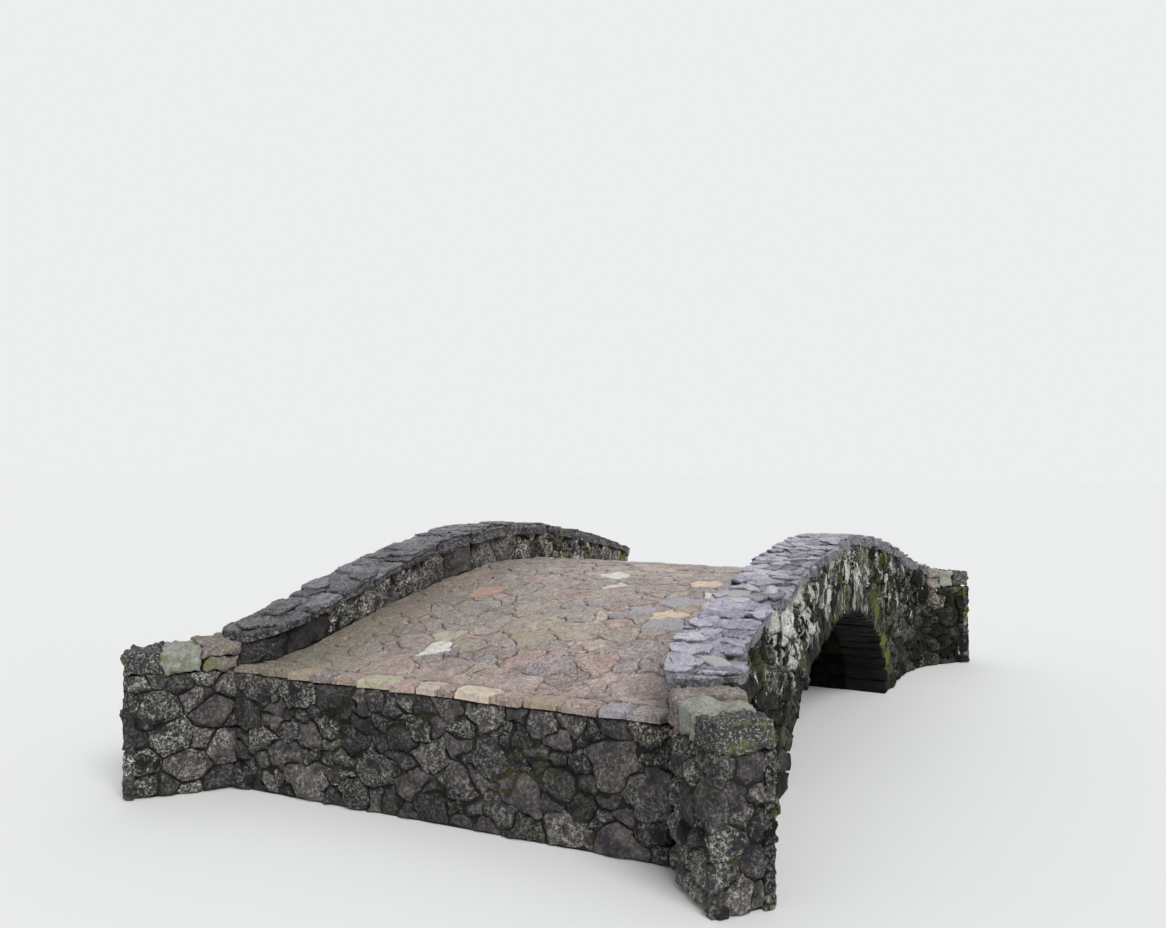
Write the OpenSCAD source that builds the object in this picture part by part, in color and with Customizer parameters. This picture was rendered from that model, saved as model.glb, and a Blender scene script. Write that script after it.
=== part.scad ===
// Rustic stone moon bridge for a garden stream.
// A three-centred masonry arch carries a humped flagstone deck between two low
// rubble parapets with slab copings. The parapets turn outwards at all four
// corners as curved wing walls and finish in a step of loose end boulders.
// Units are millimetres. +X runs along the walk from the near end to the far
// end, +Z is up, and the origin lies on the stream bed under the crown.

/* [Deck] */
// Clear width of the walk between the parapets
deck_w = 2850; // [1800:50:3600]
// Half the length of the paved walk
deck_half = 3300; // [3100:50:3400]
// Height of the path above the stream bed
path_z = 850; // [750:10:950]
// Rise of the walk from the path to the crown
hump = 410; // [380:10:480]
// Length of level paving inside each threshold
flat_l = 100; // [80:10:200]
// Thickness of the flagstones with their bed
paving_t = 60; // [40:5:80]
// Length of the threshold stones along the walk
threshold_l = 200; // [100:10:200]
// Number of threshold stones at each end of the walk
threshold_n = 7; // [4:1:9]
// Thickness of the wall that closes each end of the fill
end_wall_t = 350; // [250:10:450]

/* [Arch] */
// Half the clear span at the stream bed
half_span = 1620; // [1450:10:1700]
// Clear height of the arch at the crown
arch_rise = 970; // [930:10:1060]
// Radius of the two haunch arcs
haunch_r = 620; // [500:10:700]
// Depth of the face voussoirs, measured along the radius
ring_t = 250; // [200:10:280]
// Depth of the barrel stones between the two face rings
barrel_t = 160; // [120:5:170]
// Number of voussoirs from springing to springing
voussoirs = 33; // [21:2:49]
// Width of an open joint between two stones
joint = 8; // [4:1:14]
// Most that a face voussoir stands in or out of true
ring_rough = 14; // [0:1:20]

/* [Parapets] */
// Thickness of the parapet and spandrel walls
wall_t = 400; // [360:10:500]
// Height of the parapet above the walk at its ends, coping included
parapet_end_h = 260; // [220:10:400]
// Height of the parapet above the walk at the crown, coping included
parapet_crown_h = 360; // [260:10:460]
// Thickness of the coping slabs
coping_t = 75; // [50:5:100]
// Overhang of the coping past each face of the wall
coping_over = 16; // [0:1:30]
// Half the length of the crown part of each parapet
crown_half = 800; // [700:10:900]
// Coping slabs on each part of a parapet
coping_n = 4; // [3:1:6]

/* [Wings] */
// Length of the walk that lies between the two wings of an end
flare_l = 800; // [700:20:900]
// Radius of the wing's face towards the walk
wing_r = 1700; // [1400:50:2000]
// Turn of the coped part of a wing, in degrees
coped_turn = 26; // [20:1:32]
// Turn of the whole wing with its boulder step, in degrees
wing_turn = 52; // [46:1:58]
// Fall of the wing's top for each unit of length
wing_fall = 0.1; // [0:0.05:0.3]
// Coping slabs on each wing
wing_coping_n = 2; // [1:1:4]
// Boulders on the step of each wing
boulder_n = 3; // [2:1:4]
// Height of the largest boulder above its step
boulder_h = 185; // [120:5:240]
// Drop of the boulder step below the path
step_drop = 30; // [0:5:80]

/* [Hidden] */

// Ends of the bridge and its two sides
NEAR = -1;
FAR = 1;
FRONT = -1;
BACK = 1;

// Stone colours, as photographed on a wet day
WALL_GREY = [0.30, 0.29, 0.30];
RING_GREY = [0.36, 0.35, 0.34];
SLATE = [0.44, 0.42, 0.50];
FLAG_BROWN = [0.46, 0.42, 0.39];
PALE_FLAG = [0.66, 0.62, 0.54];
BOULDER_GREY = [0.40, 0.38, 0.40];
FILL_GREY = [0.42, 0.40, 0.37];

// The hump falls off as this power of the distance from the crown
hump_power = 1.6;
// Half the length of paving that beds straight onto the arch stones
crown_bed_half = 600;
// Distance between the points that draw the hump
hump_step = 200;
// Turn between the points that draw a wing's curve, in degrees
wing_step = 6;
// Height well above everything, for solids that a profile trims
above = path_z + hump + parapet_crown_h + 500;
// Width well past everything, for solids that a plan trims
beyond = deck_w / 2 + wall_t + wing_r + 500;
half_w = deck_w / 2;
// Half the length over which the walk rises
hump_half = deck_half - threshold_l - flat_l;
// Half the length of the straight part of each parapet
straight_half = deck_half - flare_l;

// A repeatable value from 0 to 1 for stone i and property k
function chance(i, k) = let (v = sin(i * 127.1 + k * 311.7) * 43758.5453) v - floor(v);
// The same from -1 to 1
function sway(i, k) = 2 * chance(i, k) - 1;
function mix(a, b, share) = a + (b - a) * share;

// Height of the true hump at x
function hump_z(x) = path_z + hump * (1 - pow(min(abs(x) / hump_half, 1), hump_power));
// Height of the walk at x, on the chords that draw the hump
function walk_z(x) =
    let (i = floor(x / hump_step))
    mix(hump_z(i * hump_step), hump_z((i + 1) * hump_step), x / hump_step - i);
// Height of the parapet's top above the walk at x, falling past the hump on the wings
function parapet_h(x) =
    let (out = abs(x) / hump_half)
    out < 1 ? mix(parapet_crown_h, parapet_end_h, out * out)
            : parapet_end_h - wing_fall * (abs(x) - hump_half);
// Height of the wall's top, where the coping beds
function wall_top(x) = walk_z(x) + parapet_h(x) - coping_t;

// The arch: a crown arc between two haunch arcs, all tangent where they meet
crown_r = (pow(half_span - haunch_r, 2) + pow(arch_rise, 2) - pow(haunch_r, 2))
          / (2 * (arch_rise - haunch_r));
crown_centre = arch_rise - crown_r;
haunch_centre = half_span - haunch_r;
crown_turn = atan2(haunch_centre, -crown_centre);
crown_len = crown_r * crown_turn * PI / 180;
haunch_len = haunch_r * (90 - crown_turn) * PI / 180;
half_len = crown_len + haunch_len;
// Point at arc length s from the near springing, standing out from the intrados by out
function arch_point(s, out) =
    let (d = s - half_len, side = d < 0 ? -1 : 1, on_crown = abs(d) <= crown_len)
    let (tilt = on_crown ? abs(d) / crown_r * 180 / PI
                         : crown_turn + (abs(d) - crown_len) / haunch_r * 180 / PI)
    let (centre = on_crown ? [0, crown_centre] : [side * haunch_centre, 0])
    let (r = (on_crown ? crown_r : haunch_r) + out)
    centre + r * [side * sin(tilt), cos(tilt)];
pitch = 2 * half_len / voussoirs;
// The outline of everything inside the curve that stands out from the intrados by out
function arch_outline(out) = [for (i = [0 : voussoirs]) arch_point(i * pitch, out)];

// One voussoir's outline: its corners lie on the chords between joint lines
function voussoir(i, depth, reach) =
    let (a0 = arch_point(i * pitch, 0), a1 = arch_point((i + 1) * pitch, 0))
    let (b0 = arch_point(i * pitch, depth), b1 = arch_point((i + 1) * pitch, depth))
    let (ga = joint / 2 / norm(a1 - a0), gb = joint / 2 / norm(b1 - b0))
    let (lo_a = i == 0 ? 0 : ga, lo_b = i == 0 ? 0 : gb)
    let (hi_a = i == voussoirs - 1 ? 0 : ga, hi_b = i == voussoirs - 1 ? 0 : gb)
    let (p0 = mix(a0, a1, lo_a), p1 = mix(a0, a1, 1 - hi_a))
    let (q0 = mix(b0, b1, lo_b), q1 = mix(b0, b1, 1 - hi_b))
    [p0 + reach * (p0 - q0) / norm(p0 - q0), q0, q1, p1 + reach * (p1 - q1) / norm(p1 - q1)];

// Two x values and the places of the hump's points between them
function stations(x0, x1) =
    concat([x0],
           [for (i = [floor(x0 / hump_step) + 1 : ceil(x1 / hump_step) - 1]) i * hump_step],
           [x1]);
// Joints between the coping slabs of one part of a parapet
function coping_joints(x0, x1, seed) =
    [for (k = [0 : coping_n])
        x0 + (x1 - x0) * (k + (k > 0 && k < coping_n ? 0.16 * sway(k + seed, 3) : 0)) / coping_n];

// An outline drawn in x and z, given a length in y
module between_y(y0, y1) {
    translate([0, y1, 0]) rotate([90, 0, 0]) linear_extrude(height = y1 - y0) children();
}

// Turns a piece made for the far back corner to any corner
module at_corner(x_end, y_side) {
    mirror([x_end < 0 ? 1 : 0, 0, 0]) mirror([0, y_side < 0 ? 1 : 0, 0]) children();
}

// Turns a piece made on the back wall to either wall
module at_side(y_side) {
    mirror([0, y_side < 0 ? 1 : 0, 0]) children();
}

// Points of a wing's curve at radius r, from one turn to another, in plan
function wing_arc(r, from, to) =
    let (steps = ceil((to - from) / wing_step))
    [for (k = [0 : steps])
        let (a = from + (to - from) * k / steps)
        [straight_half + r * sin(a), half_w + wing_r - r * cos(a)]];

// Plan of a wing between two turns, wider than the wall by over on both faces
module wing_plan(from, to, over = 0) {
    inner = wing_arc(wing_r + over, from, to);
    outer = wing_arc(wing_r - wall_t - over, from, to);
    polygon(concat(inner, [for (k = [len(outer) - 1 : -1 : 0]) outer[k]]));
}

// Plan of the walk, widening between the wings, out to x on both ends
module walk_plan(x_end) {
    low = wing_arc(wing_r, coped_turn, wing_turn);
    side = concat(wing_arc(wing_r, 0, coped_turn), [for (k = [1 : len(low) - 1]) low[k]]);
    back = concat([for (k = [len(side) - 1 : -1 : 0]) [-side[k][0], side[k][1]]], side);
    intersection() {
        polygon(concat(back, [for (k = [len(back) - 1 : -1 : 0]) [back[k][0], -back[k][1]]]));
        square([2 * x_end, 2 * beyond], center = true);
    }
}

// A course of voussoirs under one wall, each a wedge of its own
module face_ring(y_side) {
    color(RING_GREY) at_side(y_side)
    for (i = [0 : voussoirs - 1]) {
        seed = i + (y_side > 0 ? 100 : 0);
        between_y(half_w, half_w + wall_t + ring_rough * sway(seed, 1))
            polygon(voussoir(i, ring_t, ring_rough * chance(seed, 2)));
    }
}

module front_ring() { face_ring(FRONT); }
module back_ring() { face_ring(BACK); }

// The courses of the vault between the two face rings
module arch_barrel() {
    color(RING_GREY)
    for (i = [0 : voussoirs - 1])
        between_y(-half_w, half_w) polygon(voussoir(i, barrel_t, 0));
}

// Region between two heights that follow the walk, from x0 to x1
function walk_band(x0, x1, low, high) =
    let (xs = stations(x0, x1))
    concat([for (x = xs) [x, walk_z(x) + low]],
           [for (k = [len(xs) - 1 : -1 : 0]) [xs[k], walk_z(xs[k]) + high]]);

// Region under a height that follows the walk, from x0 to x1, down to the bed
function walk_mass(x0, x1, high) =
    let (xs = stations(x0, x1))
    concat([[x0, 0], [x1, 0]],
           [for (k = [len(xs) - 1 : -1 : 0]) [xs[k], walk_z(xs[k]) + high]]);

// Rubble fill between the walls, from the end wall over the haunch to the crown bed
module fill(x_end) {
    color(FILL_GREY) mirror([x_end > 0 ? 1 : 0, 0, 0])
    intersection() {
        linear_extrude(height = above) walk_plan(deck_half);
        between_y(-beyond, beyond) difference() {
            polygon(walk_mass(-deck_half + end_wall_t, -crown_bed_half, -paving_t));
            polygon(arch_outline(barrel_t));
        }
    }
}

module near_fill() { fill(NEAR); }
module far_fill() { fill(FAR); }

// Masonry that closes the fill where the path arrives, fitted between the wings
module end_wall(x_end) {
    color(WALL_GREY) mirror([x_end > 0 ? 1 : 0, 0, 0])
    intersection() {
        linear_extrude(height = above) walk_plan(deck_half);
        between_y(-beyond, beyond)
            polygon(walk_mass(-deck_half, -deck_half + end_wall_t, -paving_t));
    }
}

module near_end_wall() { end_wall(NEAR); }
module far_end_wall() { end_wall(FAR); }

// Wall between the face ring and the level of the walk
module spandrel(x_end, y_side) {
    color(WALL_GREY) at_corner(x_end, y_side)
    between_y(half_w, half_w + wall_t) difference() {
        polygon(walk_mass(crown_half, straight_half, 0));
        polygon(arch_outline(ring_t));
    }
}

module near_front_spandrel() { spandrel(NEAR, FRONT); }
module far_front_spandrel() { spandrel(FAR, FRONT); }
module near_back_spandrel() { spandrel(NEAR, BACK); }
module far_back_spandrel() { spandrel(FAR, BACK); }

// Outline of a parapet from x0 to x1: facets under its coping slabs, and the walk below
function parapet_outline(x0, x1, seed, base) =
    let (xs = stations(x0, x1), joints = coping_joints(x0, x1, seed))
    concat([for (x = xs) [x, base == 0 ? walk_z(x) : base]],
           [for (k = [len(joints) - 1 : -1 : 0]) [joints[k], wall_top(joints[k])]]);

// Parapet over a spandrel
module end_parapet(x_end, y_side, seed) {
    color(WALL_GREY) at_corner(x_end, y_side)
    between_y(half_w, half_w + wall_t)
        polygon(parapet_outline(crown_half, straight_half, seed, 0));
}

// Parapet over the crown, bedded straight onto the face ring
module crown_parapet(y_side, seed) {
    color(WALL_GREY) at_side(y_side)
    between_y(half_w, half_w + wall_t) difference() {
        polygon(parapet_outline(-crown_half, crown_half, seed, path_z));
        polygon(arch_outline(ring_t));
    }
}

module near_front_parapet() { end_parapet(NEAR, FRONT, 11); }
module crown_front_parapet() { crown_parapet(FRONT, 12); }
module far_front_parapet() { end_parapet(FAR, FRONT, 13); }
module near_back_parapet() { end_parapet(NEAR, BACK, 21); }
module crown_back_parapet() { crown_parapet(BACK, 22); }
module far_back_parapet() { end_parapet(FAR, BACK, 23); }

// Coping slabs from x0 to x1, each bedded on its own facet of the wall
module coping_slabs(x0, x1, seed) {
    joints = coping_joints(x0, x1, seed);
    for (k = [0 : coping_n - 1]) {
        a = joints[k] + joint / 2;
        b = joints[k + 1] - joint / 2;
        run = joints[k + 1] - joints[k];
        za = mix(wall_top(joints[k]), wall_top(joints[k + 1]), joint / 2 / run);
        zb = mix(wall_top(joints[k]), wall_top(joints[k + 1]), 1 - joint / 2 / run);
        thick = coping_t * (1 + 0.15 * sway(k + seed, 5));
        ease = coping_t / 5;
        between_y(half_w - coping_over * (1 + 0.8 * sway(k + seed, 6)),
                  half_w + wall_t + coping_over * (1 + 0.8 * sway(k + seed, 7)))
            polygon([[a, za], [b, zb], [b, zb + thick - ease], [b - ease, zb + thick],
                     [a + ease, za + thick], [a, za + thick - ease]]);
    }
}

module end_coping(x_end, y_side, seed) {
    color(SLATE) at_corner(x_end, y_side) coping_slabs(crown_half, straight_half, seed);
}

module crown_coping(y_side, seed) {
    color(SLATE) at_side(y_side) coping_slabs(-crown_half, crown_half, seed);
}

module near_front_coping() { end_coping(NEAR, FRONT, 11); }
module crown_front_coping() { crown_coping(FRONT, 12); }
module far_front_coping() { end_coping(FAR, FRONT, 13); }
module near_back_coping() { end_coping(NEAR, BACK, 21); }
module crown_back_coping() { crown_coping(BACK, 22); }
module far_back_coping() { end_coping(FAR, BACK, 23); }

// Outline in x and z of a wing's top band, from low to high above the wall's top
wing_x_max = straight_half + wing_r;
function wing_band(low, high) =
    let (xs = [straight_half, hump_half, wing_x_max])
    concat([for (x = xs) [x, wall_top(x) + low]],
           [for (k = [2 : -1 : 0]) [xs[k], wall_top(xs[k]) + high]]);

// Curved wing wall with a lower step at its end, in one mass
module wing(x_end, y_side) {
    color(WALL_GREY) at_corner(x_end, y_side) union() {
        intersection() {
            linear_extrude(height = above) wing_plan(0, coped_turn);
            between_y(0, beyond)
                polygon(concat([[straight_half, 0], [wing_x_max, 0]],
                               [for (x = [wing_x_max, hump_half, straight_half])
                                   [x, wall_top(x)]]));
        }
        linear_extrude(height = path_z - step_drop) wing_plan(coped_turn, wing_turn);
    }
}

module near_front_wing() { wing(NEAR, FRONT); }
module far_front_wing() { wing(FAR, FRONT); }
module near_back_wing() { wing(NEAR, BACK); }
module far_back_wing() { wing(FAR, BACK); }

// Coping slabs that follow a wing's curve and fall
module wing_coping(x_end, y_side, seed) {
    gap_turn = joint / 2 / wing_r * 180 / PI;
    color(SLATE) at_corner(x_end, y_side)
    for (k = [0 : wing_coping_n - 1]) {
        from = coped_turn * k / wing_coping_n + gap_turn;
        to = coped_turn * (k + 1) / wing_coping_n - gap_turn;
        intersection() {
            linear_extrude(height = above)
                wing_plan(from, to, coping_over * (1 + 0.8 * sway(k + seed, 8)));
            between_y(0, beyond)
                polygon(wing_band(0, coping_t * (1 + 0.15 * sway(k + seed, 9))));
        }
    }
}

module near_front_wing_coping() { wing_coping(NEAR, FRONT, 31); }
module far_front_wing_coping() { wing_coping(FAR, FRONT, 32); }
module near_back_wing_coping() { wing_coping(NEAR, BACK, 33); }
module far_back_wing_coping() { wing_coping(FAR, BACK, 34); }

// A rough block with a flat bed, its corners broken by tilted planes
module boulder(l, w, h, seed) {
    intersection() {
        translate([-l / 2, -w / 2, 0]) cube([l, w, h]);
        translate([0, 0, h * 0.42]) rotate([0, 38 + 9 * sway(seed, 1), 0])
            cube([1.02 * (l + h) / 1.41, 2 * w, 1.10 * (l + h) / 1.41], center = true);
        translate([0, 0, h * 0.42]) rotate([41 + 9 * sway(seed, 2), 0, 0])
            cube([2 * l, 1.02 * (w + h) / 1.41, 1.10 * (w + h) / 1.41], center = true);
        rotate([0, 0, 43 + 8 * sway(seed, 3)])
            cube([1.14 * (l + w) / 1.41, 1.08 * (l + w) / 1.41, 3 * h], center = true);
    }
}

// Boulders that stand side by side on the step at the end of a wing
module boulders(x_end, y_side, seed) {
    part = (wing_turn - coped_turn) / boulder_n;
    gap_turn = joint / 2 / wing_r * 180 / PI;
    mid_r = wing_r - wall_t / 2;
    block_l = 2 * wing_r * sin(part / 2);
    color(BOULDER_GREY) at_corner(x_end, y_side)
    for (k = [0 : boulder_n - 1]) {
        from = coped_turn + part * k;
        a = from + part / 2;
        high = boulder_h * (1 - 0.1 * k) * (1 + 0.08 * sway(seed + k, 4));
        intersection() {
            linear_extrude(height = above) wing_plan(from + gap_turn, from + part - gap_turn);
            translate([straight_half + mid_r * sin(a), half_w + wing_r - mid_r * cos(a),
                       path_z - step_drop])
                rotate([0, 0, a]) boulder(block_l, wall_t * (1 - 0.06 * k), high, seed + k);
        }
    }
}

module near_front_boulders() { boulders(NEAR, FRONT, 41); }
module far_front_boulders() { boulders(FAR, FRONT, 43); }
module near_back_boulders() { boulders(NEAR, BACK, 45); }
module far_back_boulders() { boulders(FAR, BACK, 47); }

// Flagstones with their bed, from the threshold to the crown bed
module end_paving(x_end) {
    color(FLAG_BROWN) mirror([x_end > 0 ? 1 : 0, 0, 0])
    intersection() {
        linear_extrude(height = above) walk_plan(deck_half - threshold_l);
        between_y(-beyond, beyond)
            polygon(walk_band(-deck_half, -crown_bed_half, -paving_t, 0));
    }
}

// Flagstones at the crown, bedded straight onto the arch barrel
module crown_paving() {
    color(FLAG_BROWN) between_y(-half_w, half_w) difference() {
        polygon(walk_band(-crown_bed_half, crown_bed_half, -hump / 2, 0));
        polygon(arch_outline(barrel_t));
    }
}

module near_paving() { end_paving(NEAR); }
module far_paving() { end_paving(FAR); }

// A row of pale stones that edges the walk where the path arrives
module threshold(x_end, seed) {
    y_max = half_w + wing_r - sqrt(pow(wing_r, 2) - pow(deck_half - straight_half, 2));
    run = 2 * y_max / threshold_n;
    color(PALE_FLAG) mirror([x_end > 0 ? 1 : 0, 0, 0])
    translate([0, 0, path_z - paving_t]) linear_extrude(height = paving_t)
    intersection() {
        walk_plan(deck_half);
        for (k = [0 : threshold_n - 1]) {
            y0 = -y_max + run * (k + (k > 0 ? 0.2 * sway(seed + k, 1) : 0));
            y1 = -y_max + run * (k + 1 + (k < threshold_n - 1 ? 0.2 * sway(seed + k + 1, 1) : 0));
            translate([-deck_half + 18 * chance(seed + k, 2), y0 + joint / 2])
                square([threshold_l - joint - 18 * chance(seed + k, 2), y1 - y0 - joint]);
        }
    }
}

module near_threshold() { threshold(NEAR, 51); }
module far_threshold() { threshold(FAR, 61); }

front_ring();
back_ring();
arch_barrel();
near_fill();
far_fill();
near_end_wall();
far_end_wall();
near_front_spandrel();
far_front_spandrel();
near_back_spandrel();
far_back_spandrel();
near_front_parapet();
crown_front_parapet();
far_front_parapet();
near_back_parapet();
crown_back_parapet();
far_back_parapet();
near_front_coping();
crown_front_coping();
far_front_coping();
near_back_coping();
crown_back_coping();
far_back_coping();
near_front_wing();
far_front_wing();
near_back_wing();
far_back_wing();
near_front_wing_coping();
far_front_wing_coping();
near_back_wing_coping();
far_back_wing_coping();
near_front_boulders();
far_front_boulders();
near_back_boulders();
far_back_boulders();
near_paving();
crown_paving();
far_paving();
near_threshold();
far_threshold();
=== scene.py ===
# %% [markdown]
# # A rustic stone moon bridge
#
# This notebook dresses a packed bridge model with loose stones. The packed
# model gives every wall, arch ring and paved slope in its right place. Each
# piece here follows those solids, and adds what a mason would see: rubble
# facing, rough voussoirs, split coping slabs and crazy paving.
#
# Everything is in metres. +X runs along the walk, +Y across it, and +Z is up.

# %% Setup
import bpy
import bmesh
import itertools
import math
import random
import time
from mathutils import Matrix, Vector, noise


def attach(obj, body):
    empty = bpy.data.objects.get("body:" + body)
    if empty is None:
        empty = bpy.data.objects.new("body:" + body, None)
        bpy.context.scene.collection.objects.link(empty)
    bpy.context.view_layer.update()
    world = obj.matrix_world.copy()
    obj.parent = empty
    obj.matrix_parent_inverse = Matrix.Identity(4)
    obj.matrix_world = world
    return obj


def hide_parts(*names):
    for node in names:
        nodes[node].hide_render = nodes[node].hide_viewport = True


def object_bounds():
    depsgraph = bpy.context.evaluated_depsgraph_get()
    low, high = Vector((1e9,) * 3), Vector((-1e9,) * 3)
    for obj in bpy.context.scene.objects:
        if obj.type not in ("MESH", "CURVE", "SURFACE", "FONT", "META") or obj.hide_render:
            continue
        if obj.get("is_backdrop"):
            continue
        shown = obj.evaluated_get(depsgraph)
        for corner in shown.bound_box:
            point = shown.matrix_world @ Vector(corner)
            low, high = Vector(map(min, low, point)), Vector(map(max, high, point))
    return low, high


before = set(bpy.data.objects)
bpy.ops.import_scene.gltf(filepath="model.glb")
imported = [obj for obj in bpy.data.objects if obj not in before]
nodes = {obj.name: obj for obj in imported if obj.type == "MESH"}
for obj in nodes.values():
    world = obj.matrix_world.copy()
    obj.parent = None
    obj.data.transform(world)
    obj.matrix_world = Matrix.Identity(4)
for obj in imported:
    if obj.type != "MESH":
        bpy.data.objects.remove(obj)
CAD_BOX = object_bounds()
started = time.time()
print("CAD box", [round(v, 3) for corner in CAD_BOX for v in corner])

# %% [markdown]
# ## The bridge's own sizes
#
# The model's solids follow a few plain curves. A hump carries the walk, a
# wall top follows it, and three arcs draw the arch. Stones could be snapped
# to the solids one by one, but a curve is exact and quick. So the same curves
# are written out here, and every stone is placed by a length along the wall
# and a height above the stream bed.

# %% Sizes
HALF_W = 1.425          # half the clear width of the walk
WALL_T = 0.40           # thickness of the parapet walls
PATH_Z = 0.85           # height of the path above the stream bed
HUMP = 0.41             # rise of the walk at the crown
HUMP_HALF = 3.0         # half the length of the hump
HUMP_POWER = 1.6        # 2 is a parabola, and less is sharper at the crown
DECK_HALF = 3.3         # half the length of the paved walk
THRESHOLD_L = 0.20      # length of the threshold stones along the walk
PAVING_T = 0.06         # thickness of the paving slabs
PARAPET_END_H = 0.26    # parapet above the walk at its ends, coping included
PARAPET_CROWN_H = 0.36  # and at the crown
COPING_T = 0.075        # thickness of the coping
STRAIGHT = 2.5          # half the length of the straight walls
WING_R = 1.7            # radius of a wing's face towards the walk
COPED_TURN = math.radians(26)       # turn of the coped part of a wing
WING_TURN = math.radians(52)        # turn of the whole wing
WING_FALL = 0.1         # fall of the wing's top for each metre
STEP_DROP = 0.03        # top of the low step below the path
HALF_SPAN = 1.62        # half the span of the arch at the stream bed
ARCH_RISE = 0.97        # height of the arch
HAUNCH_R = 0.62         # radius of its two haunch arcs
RING_T = 0.25           # depth of the wedge stones in its face

FRONT, BACK = -1, 1
SIDES = {"front": FRONT, "back": BACK}
print("walk", 2 * HALF_W, "m wide and", 2 * DECK_HALF, "m long")

# %% Hump and wall top


def walk_z(x):
    """Height of the walk at x."""
    share = min(abs(x) / HUMP_HALF, 1.0)
    return PATH_Z + HUMP * (1 - share ** HUMP_POWER)


def wall_top(x):
    """Height of the bed of the coping at x."""
    out = abs(x) / HUMP_HALF
    if out < 1:
        rise = PARAPET_CROWN_H + (PARAPET_END_H - PARAPET_CROWN_H) * out * out
    else:
        rise = PARAPET_END_H - WING_FALL * (abs(x) - HUMP_HALF)
    return walk_z(x) + rise - COPING_T


print("crown of the walk", round(walk_z(0), 3), "bed of the coping", round(wall_top(0), 3))

# %% Line of the walls


def wall_place(side, s, deep, z, ruler):
    """A point s along a wall and deep behind its face towards the walk.

    The wall is straight over the arch and curves outwards past both ends.
    Lengths along the curve are true at the radius called ruler.
    """
    if abs(s) <= STRAIGHT:
        return Vector((s, side * (HALF_W + deep), z))
    turn = (abs(s) - STRAIGHT) / ruler
    r = WING_R - deep
    x = STRAIGHT + r * math.sin(turn)
    y = HALF_W + WING_R - r * math.cos(turn)
    return Vector((math.copysign(x, s), side * y, z))


INNER = WING_R                  # ruler of the face towards the walk
OUTER = WING_R - WALL_T         # ruler of the face towards the stream
MIDDLE = WING_R - WALL_T / 2
S_COPED = {r: STRAIGHT + COPED_TURN * r for r in (INNER, OUTER, MIDDLE)}
S_END = {r: STRAIGHT + WING_TURN * r for r in (INNER, OUTER, MIDDLE)}


def wall_x(s, ruler):
    """Distance from mid bridge of a point s along a wall."""
    return abs(wall_place(BACK, s, WING_R - ruler, 0, ruler).x)


def edge_y(x):
    """Half the width of the walk at x, wider between the wings."""
    out = abs(x) - STRAIGHT
    return HALF_W if out <= 0 else HALF_W + WING_R - math.sqrt(WING_R ** 2 - out ** 2)


print("walk at its ends", round(2 * edge_y(DECK_HALF), 3), "m wide")

# %% Curve of the arch
crown_r = ((HALF_SPAN - HAUNCH_R) ** 2 + ARCH_RISE ** 2 - HAUNCH_R ** 2) / (
    2 * (ARCH_RISE - HAUNCH_R))
crown_z = ARCH_RISE - crown_r
crown_turn = math.atan2(HALF_SPAN - HAUNCH_R, -crown_z)


def arch_reach(x, z):
    """Centre and radius of the arc of the intrados nearest to a point."""
    if z <= crown_z or math.atan2(abs(x), z - crown_z) > crown_turn:
        return Vector((math.copysign(HALF_SPAN - HAUNCH_R, x), 0)), HAUNCH_R
    return Vector((0, crown_z)), crown_r


def above_ring(x, z):
    """Distance of a point on the wall's face from the back of the arch ring."""
    centre, radius = arch_reach(x, z)
    return (Vector((x, z)) - centre).length - radius - RING_T


print("crown arc radius", round(crown_r, 3), "turn", round(math.degrees(crown_turn), 1))

# %% [markdown]
# ## Cutting one stone
#
# A mason splits a stone and dresses its edges until it fits its neighbours.
# Here every stone starts as a flat grid. A plane half way to each neighbour
# cuts it to an irregular outline, and more planes add the worn arris and the
# ridges where two split faces of the block meet. The grid then gets sides and
# a back, and noise pushes its points about. Boxes could be scattered instead,
# but only stones that are cut with `bisect_plane` share a joint.

# %% Look of a stone
TONE, KIND = "tone", "kind"     # two numbers that every stone carries
PLAIN_LOOK = {
    "step": 0.035,      # distance between the points of the grid
    "depth": 0.06,      # thickness of the stone behind its face
    "arris": 0.014,     # width of the worn edge
    "bulge": 0.020,     # height of the face above its edge
    "tilt": 0.15,       # slope of the split faces
    "facets": 3,        # number of split faces
    "rough": 0.006,     # waviness of the face
    "chip": 0.001,      # jitter of every point of the face
    "edge": 0.008,      # raggedness of the outline
    "lift": 0.004,      # how unevenly the stones are set
    "bands": 1,         # layers of points down the sides
    "ledge": 0.0,       # how far the side's layers stand out of line
    "least": 0.002,     # area below which a sliver is left out
}
SIDE_GAP = 0.001        # stones stay this far inside the box of the model
print(len(PLAIN_LOOK), "words for the look of a stone")

# %% Noise and cuts


def new_stone_mesh():
    """An empty mesh whose points carry a tone and a kind."""
    bm = bmesh.new()
    bm.verts.layers.float.new(TONE)
    bm.verts.layers.float.new(KIND)
    return bm


def fractal(p, scale, seed, octaves=3):
    """Smooth noise from about -1 to 1, different for every seed."""
    q = Vector((p[0] / scale + seed * 7.3, p[1] / scale - seed * 3.1, seed * 1.7))
    return noise.fractal(q, 1.0, 2.0, octaves)


def ease(clear, over):
    """0 at an edge, rising to 1 where the edge is further off than over."""
    return min(max(clear / over, 0.0), 1.0)


def inside_box(p):
    """Keeps a point a hair inside the box of the packed model."""
    return Vector([min(max(p[k], CAD_BOX[0][k] + SIDE_GAP), CAD_BOX[1][k] - SIDE_GAP)
                   for k in range(3)])


def cut(bm, at, out, away=False, near=1e-5):
    """Cuts a mesh by a plane, may drop what lies beyond, and returns the new edges."""
    made = bmesh.ops.bisect_plane(bm, geom=bm.verts[:] + bm.edges[:] + bm.faces[:], dist=near,
                                  plane_co=at.to_3d(), plane_no=out.to_3d(), clear_outer=away)
    return [e for e in made["geom_cut"] if isinstance(e, bmesh.types.BMEdge)]


print("fractal noise at the origin", round(fractal((0, 0), 1, 1), 3))

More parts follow.
